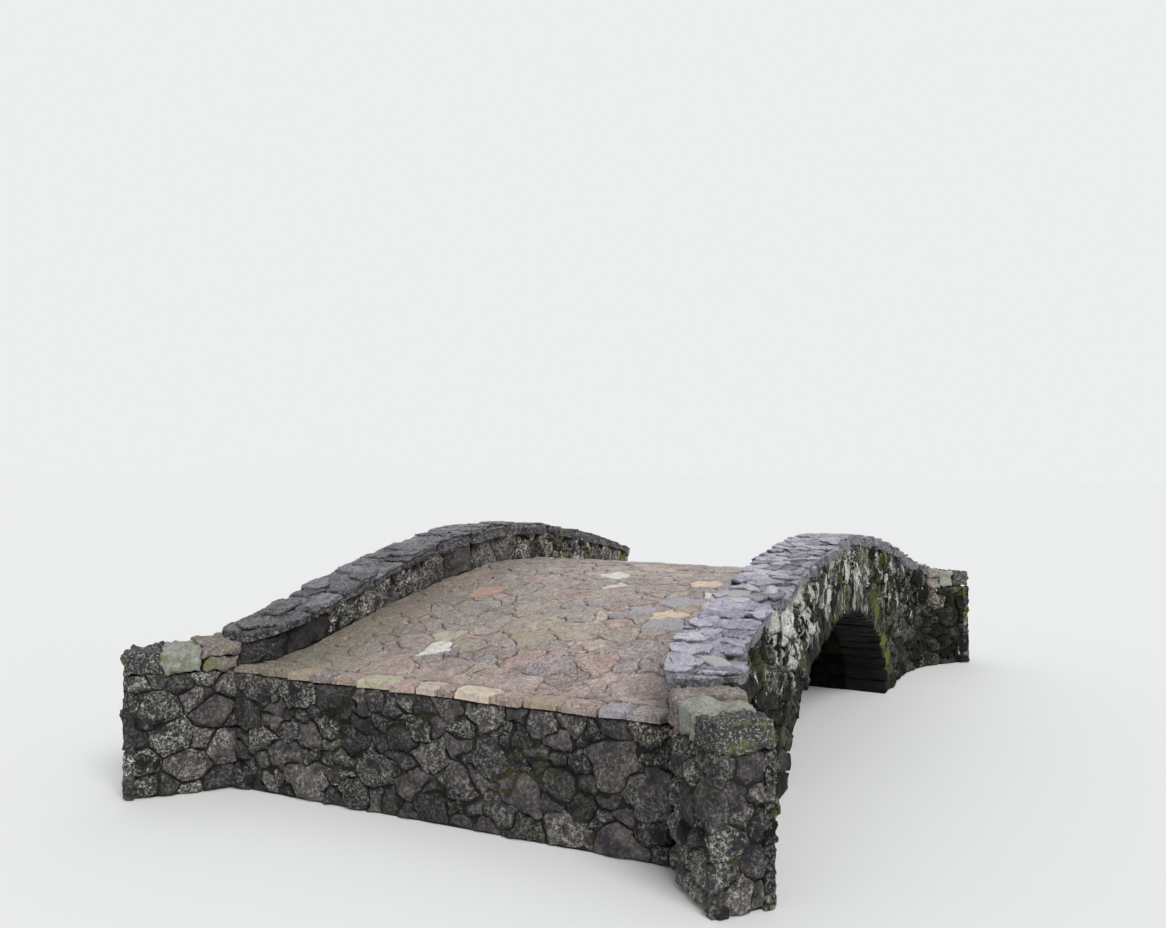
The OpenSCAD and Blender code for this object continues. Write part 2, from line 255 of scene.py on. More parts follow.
# %% Outline, ridges and sides
CUT_NEAR = 0.002        # points nearer to a cut than this move onto it


def cut_grid(centre, planes, reach, look):
    """A flat grid cut to a stone's outline, or None where only a sliver is left."""
    bm = new_stone_mesh()
    count = max(2, math.ceil(2 * reach / look["step"]))
    bmesh.ops.create_grid(bm, x_segments=count, y_segments=count, size=reach)
    bmesh.ops.translate(bm, verts=bm.verts, vec=(centre[0], centre[1], 0))
    for at, out in planes:
        cut(bm, at, out, away=True)
    if sum(f.calc_area() for f in bm.faces) < look["least"]:
        bm.free()
        return None
    for at, out in planes:
        cut(bm, at - out * look["arris"], out, near=CUT_NEAR)
    return bm


def split_faces(rng, look):
    """Height at the middle and two slopes for each split face of a stone."""
    return [(rng.uniform(0.4, 1.0) * look["bulge"], rng.uniform(-1, 1) * look["tilt"],
             rng.uniform(-1, 1) * look["tilt"]) for _ in range(look["facets"])]


def cut_ridges(bm, centre, facets):
    """Cuts a stone along the lines where two of its split faces meet."""
    for (a, b, c), (d, e, f) in itertools.combinations(facets, 2):
        slope = Vector((b - e, c - f))
        if slope.length > 0.01:
            ridge = Vector(centre) - slope * (a - d) / slope.length_squared
            cut(bm, ridge, slope.normalized(), near=CUT_NEAR)


def add_sides(bm, look):
    """Gives a flat mesh sides and a back, and returns each side point's layer."""
    rim = [e for e in bm.edges if e.is_boundary]
    layer = {}
    for k in range(look["bands"]):
        made = bmesh.ops.extrude_edge_only(bm, edges=rim)["geom"]
        rim = [g for g in made if isinstance(g, bmesh.types.BMEdge) and g.is_boundary]
        for v in made:
            if isinstance(v, bmesh.types.BMVert):
                v.co.z = -look["depth"] * (k + 1) / look["bands"]
                layer[v] = k
    bmesh.ops.contextual_create(bm, geom=rim)
    return layer


trial = cut_grid((0, 0), [], 0.1, PLAIN_LOOK)
print("a grid of 0.2 m has", len(trial.faces), "faces")
trial.free()

# %% Points of a stone


def flat(u, v, high):
    """Leaves a stone lying flat, for trials."""
    return Vector((u, v, high))


def ragged(u, v, amount, seed):
    """How far noise moves a point of the outline along u and along v."""
    du = fractal((u, v), 0.08, seed) + 0.5 * fractal((v, u), 0.024, seed)
    dv = fractal((v, u), 0.08, seed + 0.4) + 0.5 * fractal((u, v), 0.024, seed)
    return amount * du, amount * dv


def face_height(u, v, centre, planes, facets, look):
    """Height of the face at a point: split faces that swell up from a worn edge."""
    near = max(min((at - Vector((u, v))).dot(out) for at, out in planes), 0.0)
    worn = look["arris"] * 0.8 * (1 - math.sqrt(1 - (1 - ease(near, look["arris"])) ** 2))
    face = min(a + b * (u - centre[0]) + c * (v - centre[1]) for a, b, c in facets)
    swell = 1 - (1 - ease(near, 1.5 * look["bulge"] + 0.010)) ** 2
    return face * swell - worn


print("8 mm of noise moves a point", round(1000 * ragged(0.1, 0.2, 0.008, 1)[0], 1), "mm")

# %% One stone


def cut_stone(centre, planes, reach, look, seed, place, rng, kind=0.0):
    """One closed stone in a mesh of its own, cut from a grid by planes.

    planes are (point, outward direction) pairs in the flat u, v plane.
    place turns a flat point and its height off the face into a real one.
    """
    bm = cut_grid(centre, planes, reach, look)
    if bm is None:
        return None
    facets = split_faces(rng, look)
    cut_ridges(bm, centre, facets)
    layer = add_sides(bm, look)
    ledges = [rng.uniform(-1, 1) * look["ledge"] for _ in range(look["bands"])]
    tone, lift = rng.random(), rng.uniform(-1, 1) * look["lift"]
    tones, kinds = bm.verts.layers.float[TONE], bm.verts.layers.float[KIND]
    for v in bm.verts:
        v[tones], v[kinds] = tone, kind
        u, w, high = v.co
        du, dw = ragged(u, w, look["edge"], seed)
        if v in layer:
            out = (v.co.xy - Vector(centre)).normalized() * ledges[layer[v]]
            du, dw = du + out.x, dw + out.y
        else:
            high = (face_height(u, w, centre, planes, facets, look) + lift
                    + look["rough"] * fractal((u, w), 0.09, seed + 0.7)
                    + look["chip"] * rng.uniform(-1, 1))
            high = max(high, -0.8 * look["depth"])
        v.co = inside_box(place(u + du, w + dw, high))
    return bm


trial = cut_stone((0, 0), [(Vector((0.1, 0)), Vector((1, 0)))], 0.12, PLAIN_LOOK, 1, flat,
                  random.Random(1))
print("a trial stone has", len(trial.faces), "faces")
trial.free()

# %% [markdown]
# ## From loose stones to one object
#
# Hundreds of objects would be slow to handle, so the stones of one face are
# poured into one mesh. Their faces are shaded smooth, and only the edges that
# are sharper than an angle stay hard. Each object rides on the standing body
# and takes the place of the plain solids that it covers.

# %% Objects


def pour(bm, into):
    """Adds one bmesh to another and frees it."""
    loose = bpy.data.meshes.new("loose")
    bm.to_mesh(loose)
    bm.free()
    into.from_mesh(loose)
    bpy.data.meshes.remove(loose)


def make_piece(name, bm, material, replaced, crisp=None):
    """Makes a visible piece of the bridge; edges past crisp degrees stay hard."""
    mesh = bpy.data.meshes.new(name)
    bm.to_mesh(mesh)
    bm.free()
    if crisp:
        mesh.set_sharp_from_angle(angle=math.radians(crisp))
    mesh.materials.clear()
    mesh.materials.append(material)
    for p in mesh.polygons:
        p.material_index = 0
    obj = bpy.data.objects.new(name, mesh)
    bpy.context.scene.collection.objects.link(obj)
    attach(obj, "root")
    if replaced:
        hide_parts(*replaced)
    return sum(len(p.vertices) - 2 for p in mesh.polygons)


class Heap:
    """Collects finished stones and turns them into one object."""

    def __init__(self, name):
        self.name = name
        self.bm = new_stone_mesh()
        self.stones = 0

    def add(self, bm):
        """Pours one stone in, or nothing where cutting left only a sliver."""
        if bm is not None:
            pour(bm, self.bm)
            self.stones += 1

    def finish(self, material, slot, *replaced, crisp=34):
        """Makes the object once all its stones are in."""
        bmesh.ops.recalc_face_normals(self.bm, faces=self.bm.faces[:])
        for f in self.bm.faces:
            f.smooth = True
        triangles = make_piece(self.name, self.bm, material, replaced, crisp)
        print(f"{self.name}: {self.stones} stones, {triangles} triangles,"
              f" {time.time() - started:.0f} s")


# %% [markdown]
# ## Laying a wall or a floor
#
# A mason lays big and small stones as they come, and fits each to the last.
# Here seeds are scattered with the sizes mixed, and every seed gets the part
# of the plane that is nearest to it. A big stone pushes its joints away from
# itself. Last, a shared waver bends the straight joints, so that neighbours
# still fit but no outline is a plain polygon.

# %% Seeds


def scatter(rng, low, high, sizes, squash=1.0, spread=0.86, tries=2500, keep=None, pinned=()):
    """Seeds (u, v, size, kind) of mixed sizes, none too near another.

    squash above 1 makes the stones wider than tall. pinned seeds come first.
    """
    found, grid = [], {}
    cell = max(sizes) * 2

    def note(seed):
        found.append(seed)
        grid.setdefault((int(seed[0] // cell), int(seed[1] // cell)), []).append(seed)

    for seed in pinned:
        note(seed)
    for _ in range(tries):
        u, v = rng.uniform(low[0], high[0]), rng.uniform(low[1], high[1])
        if keep and not keep(u, v):
            continue
        size = rng.choice(sizes)
        key = (int(u // cell), int(v // cell))
        near = [p for a in (-1, 0, 1) for b in (-1, 0, 1)
                for p in grid.get((key[0] + a, key[1] + b), ())]
        if all(math.hypot(u - p[0], (v - p[1]) * squash) > spread * (size + p[2]) / 2
               for p in near):
            note((u, v, size, 0.0))
    return found


print("seeds on a square metre:", len(scatter(random.Random(1), (0, 0), (1, 1), (0.2, 0.3))))

# %% Share of each seed


def outline(middle, planes, reach):
    """The corners left when planes cut a square round a middle point."""
    corners = [middle + Vector((a * reach, b * reach)) for a, b in
               ((-1, -1), (1, -1), (1, 1), (-1, 1))]
    for at, out in planes:
        kept = []
        for k, c in enumerate(corners):
            n = corners[(k + 1) % len(corners)]
            dc, dn = (c - at).dot(out), (n - at).dot(out)
            if dc <= 0:
                kept.append(c)
            if (dc < 0 < dn) or (dn < 0 < dc):
                kept.append(c.lerp(n, dc / (dc - dn)))
        corners = kept
        if not corners:
            break
    return corners


def cell_planes(seeds, i, squash, joint, limits):
    """Planes that cut stone i off from its neighbours and from the edges."""
    u, v, size, _ = seeds[i]
    planes = []
    for j, (pu, pv, psize, _) in enumerate(seeds):
        du, dv = pu - u, pv - v
        if j == i or abs(du) > 3 * size + 0.3 or abs(dv) > 3 * size + 0.3:
            continue
        flat = du * du + dv * dv * squash * squash
        if flat > (2.2 * (size + psize)) ** 2:
            continue
        share = 0.5 + (size * size - psize * psize) / (8 * flat)
        out = Vector((du, dv * squash * squash)).normalized()
        planes.append((Vector((u + du * share, v + dv * share)) - out * joint / 2, out))
    for at, out in limits(u, v):
        planes.append((Vector(at), Vector(out).normalized()))
    corners = outline(Vector((u, v)), planes, 3 * size)
    touching = [(at, out) for at, out in planes
                if any(abs((c - at).dot(out)) < 1e-6 for c in corners)]
    reach = max([max(abs(c.x - u), abs(c.y - v)) for c in corners] or [size])
    return touching, reach + 0.002


def box_limits(low, high, way=1):
    """Planes that keep stones in a rectangle; way -1 swaps its two ends."""
    ends = [((high[0], 0), (1, 0)), ((low[0], 0), (-1, 0))]
    return [((0, high[1]), (0, 1)), ((0, low[1]), (0, -1))] + ends[::way]


five = [(0, 0, 1, 0), (1, 0, 1, 0), (-1, 0, 1, 0), (0, 1, 1, 0), (0, -1, 1, 0)]
touching, reach = cell_planes(five, 0, 1.0, 0.0, lambda u, v: ())
print("a seed with four neighbours:", len(touching), "planes, reach", round(reach, 3))

# %% Laying
RUBBLE_JOINT = 0.012    # joint between two stones of a rough wall


def lay(heap, seeds, limits, look, place, rng, joint=RUBBLE_JOINT, squash=1.0, kinds=(0.0,)):
    """Cuts a stone round every seed and adds it to a heap.

    limits(u, v) gives the planes that end the course near a seed. A seed
    whose own kind is 0 takes one of kinds.
    """
    for i, (u, v, _, kind) in enumerate(seeds):
        planes, reach = cell_planes(seeds, i, squash, joint, limits)
        chosen = kind or rng.choice(kinds)
        if len(planes) > 2:
            heap.add(cut_stone((u, v), planes, reach, look, i + rng.random() * 50, place, rng,
                               chosen))


def waver(place, amount, scale, seed, hold):
    """Bends joints: each point moves by noise that depends on its place alone.

    hold(u, v) is 1 where the joints may wander and 0 along fixed edges.
    """
    def bent(u, v, high):
        share = amount * hold(u, v)
        du = share * fractal((u, v), scale, seed)
        dv = share * fractal((v, u), scale, seed + 0.5)
        return place(u + du, v + dv, high)
    return bent


bend = waver(flat, amount=0.06, scale=0.13, seed=1, hold=lambda u, v: 1)
print("a joint wavers by", round(bend(0.5, 0.2, 0).x - 0.5, 3), "m")

# %% [markdown]
# ## Finishes
#
# Real stone differs from block to block and from hand to hand. A picture of
# stone would repeat, so all the finishes are built from noise. Object
# coordinates feed it at several scales, and the tone that each stone carries
# shifts both its colour and its pattern. Moss and lichen come from more noise
# with a narrow band, and a bump on top gives grain that would cost too many
# triangles as real points.

# %% Colours


def srgb(*rgb):
    """A colour written as on a paint chart, 0 to 255, in scene-linear values."""
    return tuple(((c / 255 + 0.055) / 1.055) ** 2.4 if c > 10 else c / 255 / 12.92 for c in rgb)


MOSS_DARK, MOSS_PALE = srgb(56, 64, 22), srgb(138, 140, 54)
LICHEN_DARK, LICHEN_PALE = srgb(146, 145, 132), srgb(236, 233, 220)
print("pale moss in linear values", [round(c, 3) for c in MOSS_PALE])

# %% Recipe


class Recipe:
    """A few short words for wiring the nodes of one material."""

    def __init__(self, name):
        self.material = bpy.data.materials.new(name)
        self.material.use_nodes = True
        self.tree = self.material.node_tree
        self.shader = self.tree.nodes["Principled BSDF"]
        self.place = self.new("ShaderNodeTexCoord").outputs["Object"]
        self.tone = self.number(TONE)
        self.kind = self.number(KIND)
        # coordinates moved stone by stone, so that no two share a pattern
        node = self.new("ShaderNodeVectorMath", operation="MULTIPLY_ADD")
        self.link(self.tone, node.inputs[0])
        node.inputs[1].default_value = (31, 17, 23)
        self.link(self.place, node.inputs[2])
        self.own = node.outputs["Vector"]

    def link(self, a, b):
        """Joins an output to a socket."""
        self.tree.links.new(a, b)

    def new(self, kind, **values):
        """A node with its settings."""
        node = self.tree.nodes.new(kind)
        for name, value in values.items():
            setattr(node, name, value)
        return node

    def feed(self, socket, value):
        """A number, a colour or another node's output goes into a socket."""
        if isinstance(value, (int, float)):
            socket.default_value = value
        elif isinstance(value, tuple):
            socket.default_value = (*value, 1)
        else:
            self.link(value, socket)

    def number(self, name):
        """One of the numbers that every stone carries."""
        return self.new("ShaderNodeAttribute", attribute_name=name).outputs["Fac"]

    def stretch(self, scale, vector=None):
        """Coordinates that run faster or slower along X, Y and Z."""
        node = self.new("ShaderNodeMapping")
        node.inputs["Scale"].default_value = scale
        self.link(vector or self.place, node.inputs["Vector"])
        return node.outputs["Vector"]

    def noise(self, scale, detail=4, rough=0.6, vector=None, distort=0.0, how="FBM"):
        """A noise pattern from 0 to 1, mostly near the middle."""
        node = self.new("ShaderNodeTexNoise", noise_type=how)
        node.inputs["Scale"].default_value = scale
        node.inputs["Detail"].default_value = detail
        node.inputs["Roughness"].default_value = rough
        node.inputs["Distortion"].default_value = distort
        self.link(vector or self.place, node.inputs["Vector"])
        return node.outputs["Fac"]

    def ramp(self, fac, *stops):
        """Colours along a scale, from pairs of a place and a colour."""
        node = self.new("ShaderNodeValToRGB")
        points = node.color_ramp.elements
        while len(points) < len(stops):
            points.new(0.5)
        for point, (at, colour) in zip(points, stops):
            point.position = at
            point.color = (*colour, 1)
        self.link(fac, node.inputs["Fac"])
        return node.outputs["Color"]

    def band(self, fac, low, high):
        """0 below low, 1 above high, and the other way round where low is higher."""
        node = self.new("ShaderNodeMapRange", interpolation_type="SMOOTHSTEP")
        node.inputs["From Min"].default_value = low
        node.inputs["From Max"].default_value = high
        self.link(fac, node.inputs["Value"])
        return node.outputs["Result"]

    def math(self, how, a, b, clamp=False):
        """A sum of two values, kept from 0 to 1 where clamp is set."""
        node = self.new("ShaderNodeMath", operation=how, use_clamp=clamp)
        self.feed(node.inputs[0], a)
        self.feed(node.inputs[1], b)
        return node.outputs["Value"]

    def blend(self, *parts):
        """The sum of value, share pairs."""
        total = 0.0
        for value, share in parts:
            total = self.math("ADD", total, self.math("MULTIPLY", value, share))
        return total

    def mix(self, fac, a, b, how="MIX"):
        """Colour a where fac is 0, colour b where it is 1."""
        node = self.new("ShaderNodeMix", data_type="RGBA", blend_type=how)
        self.feed(node.inputs["Factor"], fac)
        self.feed(node.inputs[6], a)
        self.feed(node.inputs[7], b)
        return node.outputs[2]


print("words for wiring:", sum(not w.startswith("_") for w in vars(Recipe)))

# %% Words for stone


class StoneRecipe(Recipe):
    """Adds what a stone's finish is made of: covers, places, lips and the shader."""

    def cover(self, base, where, share, colour, how="MIX"):
        """Lays a colour over base where a mask says, as strongly as share says."""
        return self.mix(self.math("MULTIPLY", where, share), base, colour, how)

    def along(self, axis):
        """The place along X, Y or Z."""
        node = self.new("ShaderNodeSeparateXYZ")
        self.link(self.place, node.inputs["Vector"])
        return node.outputs[axis]

    def near(self, spot, reach):
        """1 at a spot, falling to 0 at its reach."""
        node = self.new("ShaderNodeVectorMath", operation="DISTANCE")
        self.link(self.place, node.inputs[0])
        node.inputs[1].default_value = spot
        return self.band(node.outputs["Value"], reach, 0.2 * reach)

    def upright(self):
        """1 on faces that stand up, 0 on those that lie flat."""
        node = self.new("ShaderNodeSeparateXYZ")
        self.link(self.new("ShaderNodeNewGeometry").outputs["Normal"], node.inputs["Vector"])
        return self.band(self.math("ABSOLUTE", node.outputs["Z"], 0.0), 0.85, 0.50)

    def lips(self, base, split, step, dark, light, share):
        """Paints a highlight on the lip of each tread of a split face and paints shade at its foot.
        """
        tread = self.math("FRACT", self.math("DIVIDE", split, step), 0.0)
        base = self.cover(base, self.band(tread, 0.34, 0.04), share, dark)
        return self.cover(base, self.band(tread, 0.70, 0.96), share, light)

    def finish(self, colour, rough, bumps, gloss=0.5):
        """Sets the shader; bumps are a pattern, its depth in metres and its strength."""
        self.link(colour, self.shader.inputs["Base Color"])
        self.feed(self.shader.inputs["Roughness"], rough)
        self.shader.inputs["Specular IOR Level"].default_value = gloss
        normal = None
        for fac, distance, strength in bumps:
            node = self.new("ShaderNodeBump")
            node.inputs["Distance"].default_value = distance
            node.inputs["Strength"].default_value = strength
            self.link(fac, node.inputs["Height"])
            if normal:
                self.link(normal, node.inputs["Normal"])
            normal = node.outputs["Normal"]
        self.link(normal, self.shader.inputs["Normal"])
        return self.material


print("words for stone:", sum(not w.startswith("_") for w in vars(StoneRecipe)))

# %% [markdown]
# ### Rubble
#
# The walls are dark wet rubble. Lichen flecks sit on single stones, while moss
# and white mineral runs cross the joints. So the flecks read each stone's own
# coordinates, and the runs read the wall's. The runs are stretched upright,
# because water draws them down the face, and they gather round one spot, as
# the moss does round another. A painted map could place each of them, but it
# would have to be drawn for every wall.

# %% Rubble
WHITE_SPOT = (-1.55, -1.82, 1.20)       # middle of the palest part of the wall
MOSS_SPOT = (1.30, -1.82, 0.72)         # middle of the greenest part of the ring
PIT = (0.008, 0.008, 0.009)             # bottom of a pit in dark stone


def rubble_finish(name, shades, lichen, moss, gloss, patches=0.0, patches_from=None,
                  mossy_from=None, moss_spot=0.0):
    """Dark wet rubble with lichen flecks, moss and white mineral patches.

    A stone's kind makes it bare below 0 and crusted above; near 1 it is pale,
    and below -1 it is near black, for damp and painted shade. Patches and moss
    may start at a place along the walk.
    """
    r = StoneRecipe(name)
    mottle = r.noise(7, 5, 0.65, r.own)
    grain = r.noise(34, 9, 0.75, r.own)
    fine = r.noise(140, 6, 0.75)
    veins = r.noise(5, 7, 0.6, r.own, how="RIDGED_MULTIFRACTAL")
    mixed = r.blend((r.tone, 0.22), (mottle, 0.50), (grain, 0.48))
    base = r.ramp(mixed, *zip((0.40, 0.55, 0.66, 0.80), shades))
    base = r.cover(base, r.band(fine, 0.44, 0.66), 0.7, PIT)
    base = r.mix(r.band(r.kind, 0.7, 0.9), base,
                 r.mix(r.band(grain, 0.40, 0.54), srgb(120, 116, 108), srgb(252, 250, 246)))
    if patches:
        run = r.noise(7, 9, 0.72, r.stretch((1.5, 1.5, 0.42)))
        run = r.blend((run, 1.0), (r.noise(1.1, 2), 0.14),
                      (r.band(r.along("Z"), 0.3, 1.3), 0.11), (r.near(WHITE_SPOT, 0.75), 0.035))
        white = r.band(run, 0.712, 0.734)
        if patches_from is not None:
            begins = r.band(r.along("X"), patches_from, patches_from + 0.8)
            white = r.math("MULTIPLY", white, begins)
        base = r.cover(base, white, patches, r.mix(r.band(fine, 0.42, 0.60), srgb(150, 148, 138),
                                                   srgb(255, 253, 248)))
    crust = r.math("ADD", r.math("MULTIPLY", r.kind, 1.1), lichen, clamp=True)
    flecks = r.math("MULTIPLY", r.band(r.noise(52, 7, 0.85, r.own), 0.505, 0.530),
                    r.band(r.noise(7, 6, 0.7), 0.40, 0.50))
    base = r.cover(base, flecks, crust,
                   r.mix(r.band(grain, 0.42, 0.60), LICHEN_DARK, LICHEN_PALE))
    spread = r.blend((r.noise(3.4, 9, 0.75), 1.0), (r.near(MOSS_SPOT, 0.80), moss_spot))
    spread = r.band(spread, 0.54, 0.61)
    if mossy_from is not None:
        begins = r.band(r.along("X"), mossy_from, mossy_from + 1.2)
        moss = r.math("ADD", moss, begins, clamp=True)
    base = r.cover(base, spread, moss, r.mix(fine, MOSS_DARK, MOSS_PALE))
    # near black with a little moss, for stones of kind below -1: damp stone and painted shade
    damp = r.cover(srgb(12, 12, 11), spread, 0.25, srgb(44, 46, 22))
    base = r.mix(r.band(r.kind, -0.9, -1.8), base, damp)
    return r.finish(base, r.band(r.noise(6, 3), -0.9, 1.1),
                    [(mottle, 0.03, 0.6), (veins, 0.012, 0.5), (grain, 0.022, 1.0),
                     (fine, 0.006, 1.0)], gloss)


wall_stone = rubble_finish(
    "wall rubble", (srgb(22, 20, 23), srgb(44, 40, 44), srgb(76, 71, 74), srgb(134, 127, 125)),
    lichen=0.68, moss=0.15, gloss=0.35, patches=0.9, patches_from=0.3, mossy_from=0.4)
outer_stone = rubble_finish(
    "outer rubble", (srgb(5, 5, 4), srgb(12, 11, 9), srgb(32, 29, 24), srgb(98, 93, 81)),
    lichen=0.05, moss=0.40, gloss=0.25, patches=1.0, moss_spot=0.10)
ring_stone = rubble_finish(
    "ring stone", (srgb(6, 6, 5), srgb(12, 11, 9), srgb(27, 25, 21), srgb(76, 72, 63)),
    lichen=0.05, moss=0.40, gloss=0.25, patches=0.65, mossy_from=0.7, moss_spot=0.08)
# near-black vault: dark wet stone, darkened further with painted shade under the arch
vault_stone = rubble_finish(
    "vault stone", (srgb(4, 4, 4), srgb(8, 8, 7), srgb(15, 15, 12), srgb(32, 30, 25)),
    lichen=0.0, moss=0.05, gloss=0.05)
print("materials after the rubble:", len(bpy.data.materials))

# %% [markdown]
# ### Boulders
#
# The boulders on the low steps are weathered field stone, each of another
# colour. One material with a colour for each tone is enough for all of them,
# and the same noise wears it, flecks it with lichen and greens it with moss.

# %% Boulder finish
BOULDER_SHADES = ((0.0, srgb(50, 49, 52)), (0.25, srgb(86, 80, 82)), (0.5, srgb(140, 124, 122)),
                  (0.75, srgb(158, 146, 142)), (1.0, srgb(168, 172, 158)))


def boulder_finish():
    """Weathered field stone, from dark to pinkish to pale by stone."""
    r = StoneRecipe("boulder")
    mottle = r.noise(9, 5, 0.65, r.own)
    grain = r.noise(40, 9, 0.78, r.own)
    fine = r.noise(160, 6, 0.78)
    base = r.ramp(r.tone, *BOULDER_SHADES)
    worn = r.band(r.blend((grain, 0.6), (mottle, 0.4)), 0.35, 0.66)
    base = r.mix(worn, r.mix(0.6, base, (0.02, 0.02, 0.02)), base)
    base = r.cover(base, r.band(r.noise(58, 7, 0.8, r.own), 0.53, 0.58), 0.7, srgb(196, 194, 184))
    base = r.cover(base, r.band(r.noise(5, 8, 0.72), 0.53, 0.62), 0.75,
                   r.mix(fine, MOSS_DARK, MOSS_PALE))
    return r.finish(base, 0.76, [(mottle, 0.02, 0.5), (grain, 0.012, 0.8), (fine, 0.004, 0.8)])


boulder_stone = boulder_finish()
print("materials after the boulders:", len(bpy.data.materials))

# %% [markdown]
# ### Coping slate
#
# Slate splits in thin layers, and each layer ends in a lip that catches the
# light. Noise that is snapped to steps gives such treads, and the same noise
# paints a highlight on the lip and shade at the foot of each. Faces that
# stand upright take darker grey shades than the tops, so the way a face
# looks tells the two apart. The copings are one wet lavender grey slate: the
# front one is painted paler, with a painted sky sheen, and the back one is
# painted nearly black with the shade of trees.

# %% Slate
PAINTED_SHEEN_SPOT = (-2.45, -1.62, 1.20)         # middle of the painted sky sheen, where the front coping looks palest
SLATE_STEP = 0.09                       # step of the noise from layer to layer


def slate_finish(name, shades, tint, crest, gloss, painted_sheen=0.0):
    """Wet split slate, rough along its edges; its colour shifts towards the crest."""
    r = StoneRecipe(name)
    grain = r.noise(30, 10, 0.80, r.own, distort=0.5)
    fine = r.noise(120, 8, 0.8)
    split = r.noise(6, 6, 0.55, r.own, distort=1.1)
    layers = r.math("SNAP", split, SLATE_STEP)
    sheets = r.noise(10, 5, 0.65, r.stretch((1, 1, 7), r.own))
    # painted sky sheen: round one spot near the end of the front coping the slate is painted paler
    # and more lavender
    by_sheen_spot = r.near(PAINTED_SHEEN_SPOT, 1.1)
    mixed = r.blend((r.tone, 0.22), (grain, 0.62), (layers, 0.38), (by_sheen_spot, 0.035 * painted_sheen))
    base = r.ramp(mixed, *zip((0.47, 0.57, 0.65, 0.77), shades))
    base = r.cover(base, r.band(r.noise(3.2, 5, 0.6), 0.50, 0.60), 0.5, tint, "SOFT_LIGHT")
    base = r.cover(base, by_sheen_spot, 0.2 * painted_sheen, srgb(196, 184, 236), "SOFT_LIGHT")
    middle = r.band(r.math("ABSOLUTE", r.along("X"), 0.0), 1.9, 0.6)
    base = r.cover(base, middle, 0.8, crest, "SOFT_LIGHT")
    # painted highlight on each slate lip and painted shade at its foot
    base = r.lips(base, split, SLATE_STEP, srgb(24, 22, 27), srgb(236, 230, 244), 0.42)
    base = r.cover(base, r.band(fine, 0.48, 0.60), 0.30, srgb(38, 36, 42))
    # faces that stand upright take darker grey shades than the tops
    side = r.ramp(grain, (0.44, srgb(18, 17, 18)), (0.53, srgb(62, 58, 61)),
                  (0.62, srgb(178, 172, 174)))
    base = r.cover(base, r.upright(), 0.80, side)
    base = r.cover(base, r.band(r.noise(5, 6, 0.65), 0.57, 0.63), 0.4,
                   r.mix(grain, srgb(104, 98, 84), srgb(160, 152, 130)))
    base = r.cover(base, r.band(r.noise(75, 8, 0.85, r.own), 0.53, 0.57), 0.55,
                   srgb(200, 198, 200))
    to_far_end = r.math("ADD", 0.15, r.band(r.along("X"), 0.4, 2.2), clamp=True)
    base = r.cover(base, r.band(r.noise(2.9, 9, 0.75), 0.57, 0.65), to_far_end,
                   r.mix(fine, MOSS_DARK, MOSS_PALE))
    base = r.mix(r.band(r.kind, 0.4, 0.6), base,
                 r.mix(grain, srgb(150, 146, 146), srgb(222, 218, 214)))
    return r.finish(base, r.band(r.noise(8, 4), -0.1, 1.4),
                    [(layers, 0.02, 0.9), (sheets, 0.008, 0.5), (grain, 0.018, 1.0),
                     (fine, 0.005, 1.0)], gloss)


slate = {
    # front: the slate painted paler, with a painted sky sheen near its end
    "front": slate_finish(
        "front coping slate",
        (srgb(74, 71, 84), srgb(171, 165, 184), srgb(208, 203, 218), srgb(236, 233, 240)),
        tint=srgb(202, 194, 220), crest=srgb(184, 180, 178), gloss=0.9, painted_sheen=1.0),
    # back: the same slate painted nearly black with the shade of trees
    "back": slate_finish(
        "back coping slate",
        (srgb(16, 14, 18), srgb(36, 33, 40), srgb(70, 64, 73), srgb(166, 159, 170)),
        tint=srgb(120, 118, 136), crest=srgb(160, 136, 144), gloss=0.4),
}
print("slates:", list(slate))

# %% [markdown]
# ### Flagstones and bedding
#
# The paving mixes brown, pink and grey stones from one quarry. A ramp on the
# tone gives each flagstone a tint, and grain shades all of them alike, so
# they differ but belong together. The kind picks out the few pale, red, blue
# and yellow stones. The walk grows darker across towards the back wall, and
# greener beside it, where it stays damp. Gritty mortar shows in the joints.

# %% Flagstone
FLAG_TINTS = ((0.0, srgb(140, 122, 122)), (0.14, srgb(220, 182, 172)), (0.28, srgb(146, 142, 158)),
              (0.42, srgb(200, 186, 158)), (0.56, srgb(158, 156, 164)),
              (0.70, srgb(208, 168, 160)), (0.85, srgb(150, 150, 150)), (1.0, srgb(234, 212, 194)))
# kind of a stone that stands out, and its colour: red, brown, yellow-green, blue, sand, white
ODD_TINTS = ((0.1, srgb(196, 150, 130)), (0.2, srgb(182, 162, 136)), (0.4, srgb(204, 198, 166)),
             (0.6, srgb(176, 174, 186)), (0.8, srgb(246, 224, 190)), (1.0, srgb(255, 250, 244)))
FLAG_STEP = 0.085


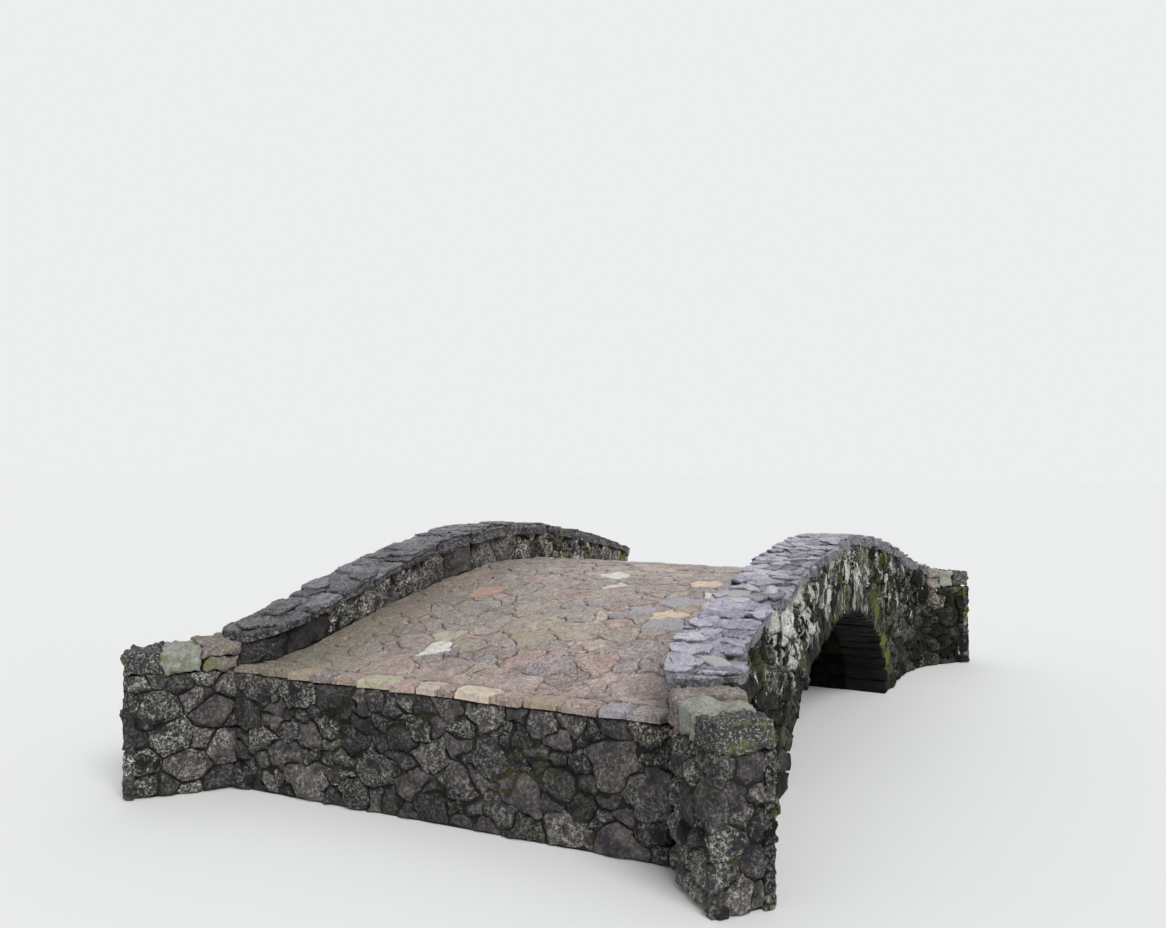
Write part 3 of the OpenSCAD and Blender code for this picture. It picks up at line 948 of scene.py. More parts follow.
def paving_finish():
    """Worn flagstones of mixed browns, each with a tint of its own."""
    r = StoneRecipe("flagstone")
    grain = r.noise(24, 10, 0.80, r.own, distort=0.4)
    fine = r.noise(130, 8, 0.8)
    split = r.noise(4.5, 4, 0.45, r.own, distort=1.6)
    layers = r.math("SNAP", split, FLAG_STEP)
    shade = r.ramp(r.blend((grain, 0.60), (layers, 0.25), (r.noise(1.6, 4, 0.6), 0.15)),
                   (0.44, srgb(72, 60, 57)), (0.495, srgb(192, 165, 153)),
                   (0.54, srgb(255, 240, 225)))
    base = r.mix(0.40, r.ramp(r.tone, *FLAG_TINTS), shade)
    # painted highlight on each flagstone lip and painted shade at its foot
    base = r.lips(base, split, FLAG_STEP, srgb(66, 55, 53), srgb(252, 234, 222), 0.55)
    # darker across the walk towards the back wall
    base = r.cover(base, r.band(r.along("Y"), -0.6, 1.5), 0.36,
                   r.mix(grain, srgb(62, 54, 50), srgb(128, 116, 110)))
    green = r.math("MULTIPLY", r.band(r.noise(2.2, 6, 0.65), 0.48, 0.62), 0.25)
    by_wall = r.math("MULTIPLY", r.band(r.along("Y"), 0.6, 1.4), r.band(r.along("X"), -0.5, -2.2))
    green = r.math("ADD", green, r.math("MULTIPLY", by_wall, 0.65), clamp=True)
    base = r.mix(green, base, r.mix(grain, srgb(84, 84, 66), srgb(158, 152, 124)))
    base = r.cover(base, r.band(r.noise(4, 6, 0.7), 0.56, 0.64), 0.45,
                   r.mix(grain, srgb(134, 100, 92), srgb(190, 150, 134)))
    base = r.cover(base, r.band(r.noise(42, 8, 0.82, r.own), 0.53, 0.57), 0.45, srgb(66, 56, 54))
    base = r.cover(base, r.band(fine, 0.46, 0.60), 0.32, srgb(56, 48, 46))
    odd = r.ramp(r.kind, *ODD_TINTS)
    odd = r.mix(r.band(grain, 0.54, 0.38), odd, r.mix(0.5, odd, srgb(92, 82, 74)))
    base = r.cover(base, r.band(r.kind, 0.02, 0.08), 0.85, odd)
    base = r.cover(base, r.band(r.noise(60, 8, 0.85), 0.54, 0.57), 0.55, srgb(236, 226, 216))
    return r.finish(base, r.band(r.noise(5, 4), -0.2, 1.3),
                    [(layers, 0.030, 0.9), (grain, 0.018, 1.0), (fine, 0.005, 1.0)])


flagstone = paving_finish()
print("nodes in the flagstone:", len(flagstone.node_tree.nodes))

# %% Mortar


def mortar_finish(name, dark, pale, moss):
    """Gritty bedding, green where it stays damp."""
    r = StoneRecipe(name)
    grain = r.noise(60, 8, 0.75)
    base = r.cover(r.mix(grain, dark, pale), r.band(r.noise(2.6, 8, 0.7), 0.50, 0.62), moss,
                   r.mix(grain, MOSS_DARK, MOSS_PALE))
    return r.finish(base, 0.9, [(grain, 0.01, 0.8), (r.noise(240, 4, 0.7), 0.003, 0.6)])


wall_mortar = mortar_finish("wall bedding", srgb(14, 13, 12), srgb(38, 34, 30), 0.3)
deck_mortar = mortar_finish("deck bedding", srgb(70, 60, 56), srgb(136, 120, 112), 0.25)
print("materials in all:", len(bpy.data.materials))

# %% [markdown]
# ## Bedding behind the stones
#
# Real joints are raked back, and mortar or shadow shows in them. A loose
# stone in the air would show the far side of the bridge instead. So each
# solid is copied with its open faces drawn in, and the stones stand proud of
# it. Solidify or a plain scale would also move the faces that have to stay
# shut, so every corner slides to where its own drawn-in planes meet.

# %% Drawing in
FACING = 0.040          # how far the wall stones stand proud of the bedding
ARCH_RAKE = 0.022       # how far the mortar of the arch lies behind its stones
ARCH_FILL = 0.0045      # how far it swells into a joint from each side
DECK_RAKE = 0.015       # how far the bedding lies below the top of the paving


def flat_sided(name):
    """A copy of a model node, with its loose triangles joined to flat faces."""
    bm = bmesh.new()
    bm.from_mesh(nodes[name].data)
    bmesh.ops.remove_doubles(bm, verts=bm.verts, dist=1e-5)
    bmesh.ops.dissolve_limit(bm, angle_limit=math.radians(0.5), verts=bm.verts, edges=bm.edges)
    return bm


def draw_in(bm, amount):
    """Moves every face of a flat-sided solid inwards by amount(normal, centre)."""
    moved = {}
    for v in bm.verts:
        planes = []
        for f in v.link_faces:
            if all((f.normal - m).length > 0.02 for m, _ in planes):
                planes.append((f.normal.copy(), amount(f.normal, f.calc_center_median())))
        shift = Vector()
        for _ in range(12):
            for n, d in planes:
                shift -= n * (shift.dot(n) + d)
        moved[v] = v.co + shift
    for v, co in moved.items():
        v.co = co


def bedding(name, sources, amount, material, replaces=True):
    """One dark core of many solids; amount(source, normal, centre) draws a face in."""
    core = bmesh.new()
    for source in sources:
        part = flat_sided(source)
        draw_in(part, lambda n, c: amount(source, n, c))
        pour(part, core)
    make_piece(name, core, material, sources if replaces else ())
    print(name, "core of", len(sources), "solids")


print("walls are drawn in by", FACING, "m")

# %% Bedding cores


def wall_amount(source, n, c):
    """Beds, and joints between two parts of a wall, stay where they are."""
    buried = n.z < -0.5 or abs(n.x) > 0.99 or (n.z > 0.5 and "spandrel" in source)
    return 0.0 if buried else FACING


def arch_amount(source, n, c):
    """Mortar fills the joints of the arch and stays back from its open faces."""
    if n.z < -0.9 and c.z < 0.01:       # the foot, on the stream bed
        return 0.0
    centre, _ = arch_reach(c.x, c.z)
    out = (Vector((c.x, c.z)) - centre).normalized()
    radial = n.x * out.x + n.z * out.y
    if radial < -0.7:                   # looks into the arch
        return ARCH_RAKE
    if abs(n.y) > 0.9:                  # looks along the stream
        return ARCH_RAKE if abs(c.y) > HALF_W + 0.1 else 0.0
    return 0.0 if radial > 0.7 else -ARCH_FILL


for word in SIDES:
    walls = [n for n in nodes if word in n and n.endswith(("_spandrel", "_parapet", "_wing"))]
    bedding(f"{word}_wall_bedding", sorted(walls), wall_amount, wall_mortar)
bedding("arch_bedding", ["front_ring", "arch_barrel", "back_ring"], arch_amount, wall_mortar,
        replaces=False)
bedding("end_wall_bedding", ["near_end_wall", "far_end_wall"],
        lambda source, n, c: 0.0 if abs(n.z) > 0.5 else FACING, wall_mortar)
bedding("deck_bedding", ["near_paving", "crown_paving", "far_paving"],
        lambda source, n, c: DECK_RAKE if n.z > 0.5 else 0.0, deck_mortar)

# %% [markdown]
# ## Crazy paving
#
# The walk is laid with flat stones of every size, tight to each other. A few
# pale and tinted stones have a place of their own, and the rest are scattered
# round them. They could be cut on the slope, but it is simpler to lay them
# flat and then lift every point onto the hump, and the pattern follows the
# rise as real paving does.

# %% Flagstones that stand out
FLAG_LOOK = dict(PLAIN_LOOK, step=0.040, depth=0.03, arris=0.007, bulge=0.006, tilt=0.034,
                 facets=3, rough=0.007, chip=0.0014, edge=0.012, lift=0.0050)
FLAG_SIZES = (0.14, 0.20, 0.26, 0.33, 0.42)
FLAG_JOINT = 0.006
DECK_END = DECK_HALF - THRESHOLD_L - 0.004     # the paving stops short of the threshold
WALL_GAP = 0.006                                # and of the walls on either hand
# place along and across the walk, size, and kind of the stones that stand out
ODD_FLAGS = [
    (-2.57, 0.44, 0.19, 1.0), (-2.31, 0.50, 0.19, 0.4), (-2.22, -0.12, 0.34, 0.2),
    (-1.50, -0.89, 0.24, 0.8), (-1.17, -0.83, 0.32, 0.6), (-1.76, -0.98, 0.26, 0.6),
    (-1.43, -0.62, 0.22, 0.6), (-1.28, 0.85, 0.32, 0.1), (-0.92, -1.00, 0.16, 1.0),
    (-0.53, -0.81, 0.22, 0.8), (-0.42, 0.03, 0.25, 1.0), (-0.80, -0.15, 0.15, 0.9),
    (0.9, 0.5, 0.24, 0.8), (1.7, -0.4, 0.22, 1.0), (2.3, 0.7, 0.26, 0.6), (1.3, -1.0, 0.3, 0.2),
]
print(len(ODD_FLAGS), "flagstones have a place of their own")

# %% Edges of the walk


def rise_at(curve, u, reach=0.1):
    """Rise of a curve at u for each metre, over a short stretch."""
    return (curve(u + reach) - curve(u - reach)) / (2 * reach)


def walk_limits(u, v):
    """The walls on either hand, and the thresholds at both ends."""
    side = 1 if v > 0 else -1
    return [((u, side * (edge_y(u) - WALL_GAP)), (-rise_at(edge_y, u, 0.05), side)),
            ((DECK_END, 0), (1, 0)), ((-DECK_END, 0), (-1, 0))]


def on_walk(u, v, high):
    """Lifts a flat stone onto the hump."""
    return Vector((u, v, walk_z(u) - 0.003 + high))


def walk_hold(u, v):
    """Joints wander less near the edges of the walk."""
    return ease(min(edge_y(u) - abs(v), DECK_END - abs(u)), 0.12)


print("at x = -2 the walk rises", round(rise_at(walk_z, -2.0), 3), "m for each metre")

# %% Paving
rng = random.Random(11)
seeds = scatter(rng, (-DECK_END, -1.6), (DECK_END, 1.6), FLAG_SIZES, squash=1.1, spread=0.80,
                tries=6000, keep=lambda u, v: abs(v) < edge_y(u) - 0.05, pinned=ODD_FLAGS)
wavy = waver(on_walk, amount=0.06, scale=0.16, seed=3, hold=walk_hold)
heap = Heap("flagstones")
lay(heap, seeds, walk_limits, FLAG_LOOK, wavy, rng, joint=FLAG_JOINT, squash=1.1)
heap.finish(flagstone, "paving_flagstone")

# %% [markdown]
# ## Threshold stones
#
# A row of larger stones edges the walk at each end, some of them pale. They
# are cut in the same way as the paving, in a strip of one row. Its outer edge
# is cut anew for every stone, so the row ends in a ragged line. The row is
# written down once, and the far end has it turned round.

# %% Thresholds
# place across the walk, size and kind of each stone, from one wing to the other
THRESHOLD_ROW = [(1.48, 0.20, 0.0), (1.26, 0.24, 0.0), (1.02, 0.20, 0.2), (0.84, 0.14, 0.0),
                 (0.68, 0.20, 0.0), (0.44, 0.28, 0.4), (0.21, 0.16, 0.0), (0.05, 0.18, 0.7),
                 (-0.11, 0.12, 0.0), (-0.30, 0.28, 0.85), (-0.55, 0.22, 0.0), (-0.78, 0.24, 0.2),
                 (-1.03, 0.26, 0.0), (-1.25, 0.18, 0.6), (-1.46, 0.22, 0.0)]
THRESHOLD_LOOK = dict(FLAG_LOOK, depth=0.05, arris=0.016, tilt=0.04)
RAGGED_EDGE = (0.004, 0.040)    # least and most that a stone stops short of the end

rng = random.Random(12)
for word, end in (("near", -1), ("far", 1)):
    heap = Heap(f"{word}_threshold_stones")
    seeds = [(end * (DECK_HALF - THRESHOLD_L * rng.uniform(0.3, 0.7)), -end * y, size, kind)
             for y, size, kind in THRESHOLD_ROW]

    def strip_limits(u, v):
        """The ragged outer edge, the paving, and the wall on that hand."""
        outer = DECK_HALF - rng.uniform(*RAGGED_EDGE)
        inner = DECK_HALF - THRESHOLD_L + 0.006
        side = 1 if v > 0 else -1
        return [((end * outer, v), (end, rng.uniform(-0.15, 0.15))), ((end * inner, 0), (-end, 0)),
                ((u, side * (edge_y(u) - 0.010)), (-side * end * 0.5, side))]

    lay(heap, seeds, strip_limits, THRESHOLD_LOOK, on_walk, rng)
    heap.finish(flagstone, "pale_flagstone", f"{word}_threshold")

# %% [markdown]
# ## Rubble facing towards the walk
#
# The walls are faced with random rubble. A Boolean could cut stones to the
# curved walls, but it would be slow and would leave ragged faces. So each
# face is laid out flat, as a length along the wall and a height, and is then
# bent onto the wall: straight over the arch and curved on the wings. Towards
# the walk there is one course of big blocks that follows the hump, with a few
# pairs of smaller ones.

# %% Facing helpers
INNER_LOOK = dict(PLAIN_LOOK, step=0.030, depth=0.08, arris=0.030, bulge=0.046, tilt=0.30,
                  facets=4, rough=0.014, chip=0.0030, edge=0.012, lift=0.008)
OUTER_LOOK = dict(PLAIN_LOOK, step=0.035, depth=0.08, arris=0.018, bulge=0.040, tilt=0.34,
                  facets=3, rough=0.012, chip=0.0030, edge=0.013, lift=0.010)
EDGE_GAP = 0.004        # stones stop this far from the top and foot of a face
END_GAP = 0.006         # and this far from its ends
BED_GAP = 0.003         # and this far below a coping
FACE_RECESS = 0.012     # the edges of the stones lie this far behind the face
STEP_TOP = PATH_Z - STEP_DROP


def face_top(s, ruler):
    """Height of the top of a face, a hair below its coping or step."""
    if abs(s) > S_COPED[ruler]:
        return STEP_TOP - EDGE_GAP
    return wall_top(wall_x(s, ruler)) - BED_GAP


def face_place(side, ruler, base=None):
    """Bends flat stones onto the face of a wall, above a base line if there is one."""
    outwards = 1 if ruler == OUTER else -1
    deep = WALL_T if ruler == OUTER else 0.0

    def place(u, v, high):
        z = v if base is None else v + base(u)
        return wall_place(side, u, deep + outwards * (high - FACE_RECESS), z, ruler)
    return place


print("face towards the walk", round(face_top(0, INNER) - walk_z(0), 3), "m tall at the crown")

# %% Edges of the course
BLOCK_FOOT = -0.03      # the course starts below the top of the paving
BLOCK_JOINT = 0.026
NEAR_STEP = 0.11        # nearer to a wall's step down, no slope is measured


def block_base(u):
    """The walk's height beside a block."""
    return walk_z(wall_x(u, INNER))


def block_height(u):
    """Height of the course at a place along the wall."""
    return face_top(u, INNER) - block_base(u)


def block_limits(u, v):
    """The sloping bed of the coping, the walk, and the ends of the coped wall."""
    coped = S_COPED[INNER]
    inward = math.copysign(min(abs(u), coped - NEAR_STEP), u)
    lean = rise_at(block_height, inward)
    return [((u, block_height(inward) + lean * (u - inward)), (-lean, 1)),
            ((u, BLOCK_FOOT), (0, -1)), ((coped, 0), (1, 0)), ((-coped, 0), (-1, 0))]


def block_hold(u, v):
    """Joints wander less near the edges of the course."""
    return ease(min(block_height(u) - v, v - BLOCK_FOOT, S_COPED[INNER] - abs(u)), 0.08)


print("height of the course", round(block_height(0), 3), "m at the crown and",
      round(block_height(3), 3), "m at the ends")

# %% Blocks of the course
# place along the wall, width and kind of the blocks that show most, near end first
BLOCKS_SEEN = [(-3.06, 0.24, -0.4), (-2.69, 0.40, -1.0), (-2.31, 0.34, 0.45), (-1.92, 0.40, 0.4),
               (-1.49, 0.40, 0.2), (-1.10, 0.34, 0.1), (-0.71, 0.40, -0.5), (-0.28, 0.40, -0.1)]


def block_seeds(rng, seen):
    """One course of blocks; some are split in two, and chinks fill some joints."""
    coped = S_COPED[INNER]
    blocks = list(seen)
    u = seen[-1][0] + 0.38 if seen else -coped + 0.14
    while u < coped - 0.08:
        blocks.append((u, rng.uniform(0.24, 0.42), 0.0))
        u += blocks[-1][1]
    seeds = []
    for u, width, kind in blocks:
        tall = block_height(u)
        if kind == 0.0 and rng.random() < 0.40:         # two stones, one on the other
            split = rng.uniform(0.38, 0.62)
            seeds.append((u - 0.04, tall * split / 2, 0.20, 0.0))
            seeds.append((u + 0.04, tall * (1 + split) / 2, 0.20, 0.0))
        else:
            seeds.append((u, tall * rng.uniform(0.42, 0.58), 0.8 * width, kind))
        if rng.random() < 0.30:                         # a chink in the joint
            seeds.append((u + width / 2, tall * rng.choice((0.12, 0.86)), 0.07, 0.0))
    return seeds


print("a course has about", len(block_seeds(random.Random(1), [])), "blocks")

# %% Inner facing
for word, side in SIDES.items():
    rng = random.Random(21 + side)
    heap = Heap(f"{word}_inner_facing")
    wavy = waver(face_place(side, INNER, block_base), amount=0.05, scale=0.14, seed=5 + side,
                 hold=block_hold)
    lay(heap, block_seeds(rng, BLOCKS_SEEN if side == BACK else []), block_limits, INNER_LOOK,
        wavy, rng, joint=BLOCK_JOINT, kinds=(0.0, -0.4, 0.2, 0.45, 0.0))
    # the low wall below the boulders, past the ends of the coped wall
    for way in (-1, 1):
        start, stop = sorted((way * S_COPED[INNER], way * (S_END[INNER] - END_GAP)))
        low_limits = box_limits((start, EDGE_GAP), (stop, STEP_TOP - EDGE_GAP), way)
        seeds = scatter(rng, (start, 0.02), (stop, 0.8), (0.14, 0.2, 0.26, 0.32), squash=1.3,
                        spread=0.85, tries=900)
        lay(heap, seeds, lambda u, v: low_limits, dict(INNER_LOOK, step=0.045),
            face_place(side, INNER), rng, squash=1.3, kinds=(0.0, -0.4, 0.3))
    heap.finish(wall_stone, "wall_stone")

# %% [markdown]
# ## Rubble facing towards the stream
#
# Outside the stones are smaller and of every shape. They run from the coping
# down to the stream bed and stop at the back of the arch ring. There each
# stone gets one more plane, square to the ring at its own place, and so the
# course follows the curve without a Boolean.

# %% Edges of the outer face
OUTER_SIZES = (0.09, 0.13, 0.18, 0.24, 0.31)
OUTER_KINDS = (0.0, 0.0, -0.6, 0.3, -0.3, 0.5, 0.0, 0.2)
# place along the wall, height, size and kind of the stones that show most
OUTER_SEEN = [(-1.62, 1.17, 0.30, 1.0), (-1.36, 1.31, 0.17, 0.95), (-0.36, 1.42, 0.42, 0.3),
              (-1.92, 1.20, 0.22, 0.6), (-1.98, 0.84, 0.28, 0.6), (-2.15, 0.50, 0.14, 0.8)]
RING_ZONE = HALF_SPAN + 0.9     # no stone past this can touch the ring
RING_TUCK = 0.03                # stones reach this far over the back of the ring


def outer_limits(u, v):
    """The coping or step, the stream bed, the end of the wing and the ring."""
    coped, end = S_COPED[OUTER], S_END[OUTER] - END_GAP
    # a stone beside the step is cut level, or it would lean across it
    by_step = abs(abs(u) - coped) < NEAR_STEP
    lean = 0.0 if by_step else rise_at(lambda s: face_top(s, OUTER), u)
    way = 1 if u > 0 else -1
    planes = [((0, EDGE_GAP), (0, -1)), ((way * end, 0), (way, 0)),
              ((u, face_top(u, OUTER)), (-lean, 1))]
    if v > STEP_TOP:
        planes.append(((way * coped, 0), (way, 0)))
    if abs(u) < RING_ZONE:
        centre, radius = arch_reach(u, v)
        out = (Vector((u, v)) - centre).normalized()
        planes.append((centre + out * (radius + RING_T - RING_TUCK), -out))
    return planes


def outer_hold(u, v):
    """Joints wander less near the edges of the face and near the ring."""
    return ease(min(face_top(u, OUTER) - v, v, above_ring(u, v), S_END[OUTER] - abs(u),
                    abs(abs(u) - S_COPED[OUTER])), 0.08)


print("the face above the ring is", round(face_top(0, OUTER) - ARCH_RISE - RING_T, 3), "m tall")

# %% Outer facing
for word, side in SIDES.items():
    rng = random.Random(31 + side)
    end = S_END[OUTER]
    seeds = scatter(rng, (-end, 0.03), (end, 1.55), OUTER_SIZES, squash=1.3, spread=0.84,
                    tries=12000, pinned=OUTER_SEEN if side == FRONT else (),
                    keep=lambda u, v: above_ring(u, v) > 0.02 and v < face_top(u, OUTER) - 0.03)
    heap = Heap(f"{word}_outer_facing")
    wavy = waver(face_place(side, OUTER), amount=0.06, scale=0.13, seed=7 + side,
                 hold=outer_hold)
    lay(heap, seeds, outer_limits, OUTER_LOOK, wavy, rng, squash=1.3, kinds=OUTER_KINDS)
    heap.finish(outer_stone, "wall_stone")

# %% [markdown]
# ## Coping slabs
#
# The coping is split slate. Thick slabs with broken edges bed on the wall and
# hang over both faces. Thinner flakes lie on them like worn shingles, each
# with its lower edge over the next one down the slope. A slab is cut by a few
# planes with a little skew, and a flake by planes all round. A bump alone
# would leave the outline of the coping straight, and it shows against the sky.

# %% Coping stones
SLAB_LOOK = dict(PLAIN_LOOK, step=0.034, depth=0.082, arris=0.012, bulge=0.008, tilt=0.06,
                 facets=4, rough=0.009, chip=0.0022, edge=0.026, lift=0.002, bands=3, ledge=0.011)
FLAKE_LOOK = dict(PLAIN_LOOK, step=0.036, depth=0.014, arris=0.007, bulge=0.004, tilt=0.07,
                  facets=3, rough=0.006, chip=0.0016, edge=0.020, lift=0.0)
OVERHANG = 0.030
SLAB_TOP = 0.054        # top of the thick slabs above their bed
SLAB_GAP = 0.007        # half the joint between two slabs
FLAKE_INSET = 0.006     # flakes stop this far inside the overhang
PALE_FLAKES = 0.012     # share of the front flakes that are nearly white
S_CAP = S_COPED[MIDDLE]


def cap_place(side, raise_by, lean=(0, 0), about=(0, 0)):
    """Lays flat stones along the top of a wall: u along it, v across it."""
    def place(u, v, high):
        z = (wall_top(wall_x(u, MIDDLE)) + raise_by + high + lean[0] * (u - about[0])
             + lean[1] * (v - about[1]))
        return wall_place(side, u, v, z, MIDDLE)
    return place


print("copings run", round(2 * S_CAP, 2), "m along the walls")

# %% Slab and flake


def slab(rng, side, a, b):
    """One thick slab from a to b along the wall."""
    middle = Vector(((a + b) / 2, WALL_T / 2))
    lips = [OVERHANG + rng.uniform(-0.016, 0.012) for _ in range(2)]
    # both ends, then both long edges, each a little askew
    planes = [(Vector((b - SLAB_GAP, WALL_T / 2)), Vector((1, rng.uniform(-0.25, 0.25)))),
              (Vector((a + SLAB_GAP, WALL_T / 2)), Vector((-1, rng.uniform(-0.15, 0.15)))),
              (Vector((middle.x, WALL_T + lips[0])), Vector((rng.uniform(-0.09, 0.09), 1))),
              (Vector((middle.x, -lips[1])), Vector((rng.uniform(-0.09, 0.09), -1)))]
    planes = [(at, out.normalized()) for at, out in planes]
    # a broken corner
    corner = Vector((rng.choice((a, b)), rng.choice((-OVERHANG, WALL_T + OVERHANG))))
    inward = (middle - corner).normalized()
    planes.append((corner + inward * rng.uniform(0.03, 0.09), -inward))
    look = dict(SLAB_LOOK, depth=rng.uniform(0.058, 0.100))
    return cut_stone(middle, planes, max(b - a, WALL_T + 0.1) / 2 + 0.06, look,
                     rng.random() * 90, cap_place(side, SLAB_TOP + rng.uniform(-0.018, 0.004)), rng)


def flake(rng, side, middle, size, steep):
    """One thin flake, cut by planes all round and tilted down the slope."""
    sides = rng.randint(4, 7)
    turn = rng.uniform(0, math.tau)
    planes = []
    for k in range(sides):
        angle = turn + k * math.tau / sides + rng.uniform(-0.4, 0.4)
        out = Vector((math.cos(angle), math.sin(angle)))
        planes.append((middle + out * size * rng.uniform(0.55, 1.0), out))
    # no flake reaches past the slabs
    planes += [(Vector((0, WALL_T + OVERHANG - FLAKE_INSET)), Vector((0, 1))),
               (Vector((0, -OVERHANG + FLAKE_INSET)), Vector((0, -1))),
               (Vector((S_CAP - 0.015, 0)), Vector((1, 0))),
               (Vector((-S_CAP + 0.015, 0)), Vector((-1, 0)))]
    lean = (math.copysign(rng.uniform(0.01, steep), middle.x), rng.uniform(-0.5, 0.5) * steep)
    return cut_stone(middle, planes, size * 1.5, FLAKE_LOOK, rng.random() * 90,
                     cap_place(side, SLAB_TOP + rng.uniform(0.002, 0.011), lean, middle), rng,
                     1.0 if side == FRONT and rng.random() < PALE_FLAKES else 0.0)


trial = slab(random.Random(1), FRONT, 0.0, 0.3)
print("a slab of 0.3 m has", len(trial.faces), "faces")
trial.free()

# %% Coping
# shortest and longest slab, flakes across the wall, share of flakes left out, and their tilt
COPING_PLAN = {"front": ((0.22, 0.40), 4, 0.10, 0.12), "back": ((0.30, 0.62), 2, 0.55, 0.05)}
for word, side in SIDES.items():
    rng = random.Random(41 + side)
    heap = Heap(f"{word}_coping_slabs")
    lengths, lanes, bare, steep = COPING_PLAN[word]
    joints = [-S_CAP]
    while joints[-1] < S_CAP - lengths[1]:
        joints.append(joints[-1] + rng.uniform(*lengths))
    joints.append(S_CAP)
    for a, b in zip(joints, joints[1:]):
        heap.add(slab(rng, side, a, b))
    # rows of flakes, one after another along the wall
    u = -S_CAP + 0.10
    while u < S_CAP - 0.08:
        for lane in range(lanes):
            at = Vector((u + rng.uniform(-0.05, 0.05),
                         (lane + 0.5) * WALL_T / lanes + rng.uniform(-0.03, 0.03)))
            if rng.random() > bare:
                heap.add(flake(rng, side, at, rng.uniform(0.05, 0.10) + 0.12 / lanes, steep))
        u += rng.uniform(0.10, 0.16)
    copings = sorted(n for n in nodes if word in n and n.endswith("_coping"))
    heap.finish(slate[word], "coping_slate", *copings, crisp=30)

# %% [markdown]
# ## Roughening solid blocks
#
# The arch stones and the end boulders are already separate solids in the
# model, each in its exact place. They only need worn edges and rough faces.
# Each block is bevelled, sliced by a lattice of planes so that it has points
# to move, and then pushed about by noise. A Displace modifier would do the
# last part, but it can't keep a block inside the box of the model.

# %% Loose blocks


def loose_blocks(node):
    """Each separate solid of a model node as a small mesh of flat faces."""
    whole = flat_sided(node)
    whole.verts.index_update()
    left = set(whole.verts)
    blocks = []
    while left:
        group, front = set(), [left.pop()]
        while front:
            v = front.pop()
            group.add(v.index)
            for e in v.link_edges:
                other = e.other_vert(v)
                if other in left:
                    left.discard(other)
                    front.append(other)
        part = whole.copy()
        bmesh.ops.delete(part, geom=[v for v in part.verts if v.index not in group],
                         context="VERTS")
        blocks.append((min(group), part))
    whole.free()
    # in the order of the model, whatever order the sets gave
    return [part for _, part in sorted(blocks, key=lambda pair: pair[0])]


print("stones in the front ring:", len(loose_blocks("front_ring")))

# %% Slices
BLOCK_NEAR = 0.003      # points of a block nearer to a slice than this move onto it
RING_SLICES = (0.045, 0.08, 0.045)      # distance between slices along X, Y and Z


def slice_up(bm, steps):
    """Cuts a block by planes square to X, Y and Z, without opening it."""
    low = Vector(min(v.co[k] for v in bm.verts) for k in range(3))
    high = Vector(max(v.co[k] for v in bm.verts) for k in range(3))
    for axis, step in enumerate(steps):
        if not step:
            continue
        across = Vector((0, 0, 0))
        across[axis] = 1
        count = int((high[axis] - low[axis]) / step)
        for k in range(1, count + 1):
            cut(bm, low.lerp(high, k / (count + 1)), across, near=BLOCK_NEAR)


def keep_between(bm, axis, a, b):
    """Keeps the part of a block between two places on an axis, and closes it."""
    for at, way in ((a, -1), (b, 1)):
        point, out = Vector((0, 0, 0)), Vector((0, 0, 0))
        point[axis], out[axis] = at, way
        rim = cut(bm, point, out, away=True)
        if rim:
            bmesh.ops.contextual_create(bm, geom=rim)


trial = loose_blocks("front_ring")[0]
slice_up(trial, RING_SLICES)
print("a sliced ring stone has", len(trial.faces), "faces")
trial.free()

# %% Roughening


def rough_block(bm, steps, bevel, push, scale, rng, tone=None, shrink=0.1, round_off=0,
                kinds_of=(0.0, 0.0, 0.3, -0.4, 0.1)):
    """Wears a block's edges and roughens its faces.

    bevel is the width of the worn edge and push the depth of the noise, whose
    waves are about scale long. shrink draws the faces in by a share of push,
    and round_off smooths the block that many times first.
    """
    seed = rng.random() * 50
    bmesh.ops.bevel(bm, geom=bm.edges[:], offset=bevel, offset_type="OFFSET", segments=1,
                    profile=0.5, affect="EDGES", clamp_overlap=True, material=-1)
    slice_up(bm, steps)
    for _ in range(round_off):
        bmesh.ops.smooth_vert(bm, verts=bm.verts, factor=0.5, use_axis_x=True, use_axis_y=True,
                              use_axis_z=True)
    bm.normal_update()
    tones = bm.verts.layers.float.new(TONE)
    kinds = bm.verts.layers.float.new(KIND)
    tone = rng.random() if tone is None else tone
    kind = rng.choice(kinds_of)
    for v in bm.verts:
        v[tones], v[kinds] = tone, kind
        q = v.co / scale + Vector((seed * 3.7, seed * 1.3, -seed * 2.9))
        wave = noise.fractal(q, 1.0, 2.0, 3) + 0.5 * noise.fractal(q * 4, 1.0, 2.0, 2)
        v.co = inside_box(v.co + v.normal * push * (wave - shrink))
    return bm


trial = rough_block(loose_blocks("front_ring")[0], RING_SLICES, bevel=0.009, push=0.016,
                    scale=0.10, rng=random.Random(1))
print("a rough ring stone has", len(trial.faces), "faces")
trial.free()

# %% Ring and vault


def damp_and_shade_inside(bm):
    """Marks the face of a ring stone that looks into the arch to be painted near black, for damp
    and shade.
    """
    kinds = bm.verts.layers.float[KIND]
    for v in bm.verts:
        centre, radius = arch_reach(v.co.x, v.co.z)
        if (Vector((v.co.x, v.co.z)) - centre).length < radius + ARCH_RAKE:
            v[kinds] = -2.0


VAULT_STONE = (0.20, 0.55)      # shortest and longest stone along the vault
HALF_JOINT = 0.003              # half the joint between two stones of one block

rng = random.Random(51)
for word in SIDES:
    heap = Heap(f"{word}_ring_stones")
    for block in loose_blocks(f"{word}_ring"):
        rough_block(block, RING_SLICES, bevel=0.009, push=0.016, scale=0.10, rng=rng)
        damp_and_shade_inside(block)
        heap.add(block)
    heap.finish(ring_stone, "arch_stone", f"{word}_ring", crisp=40)

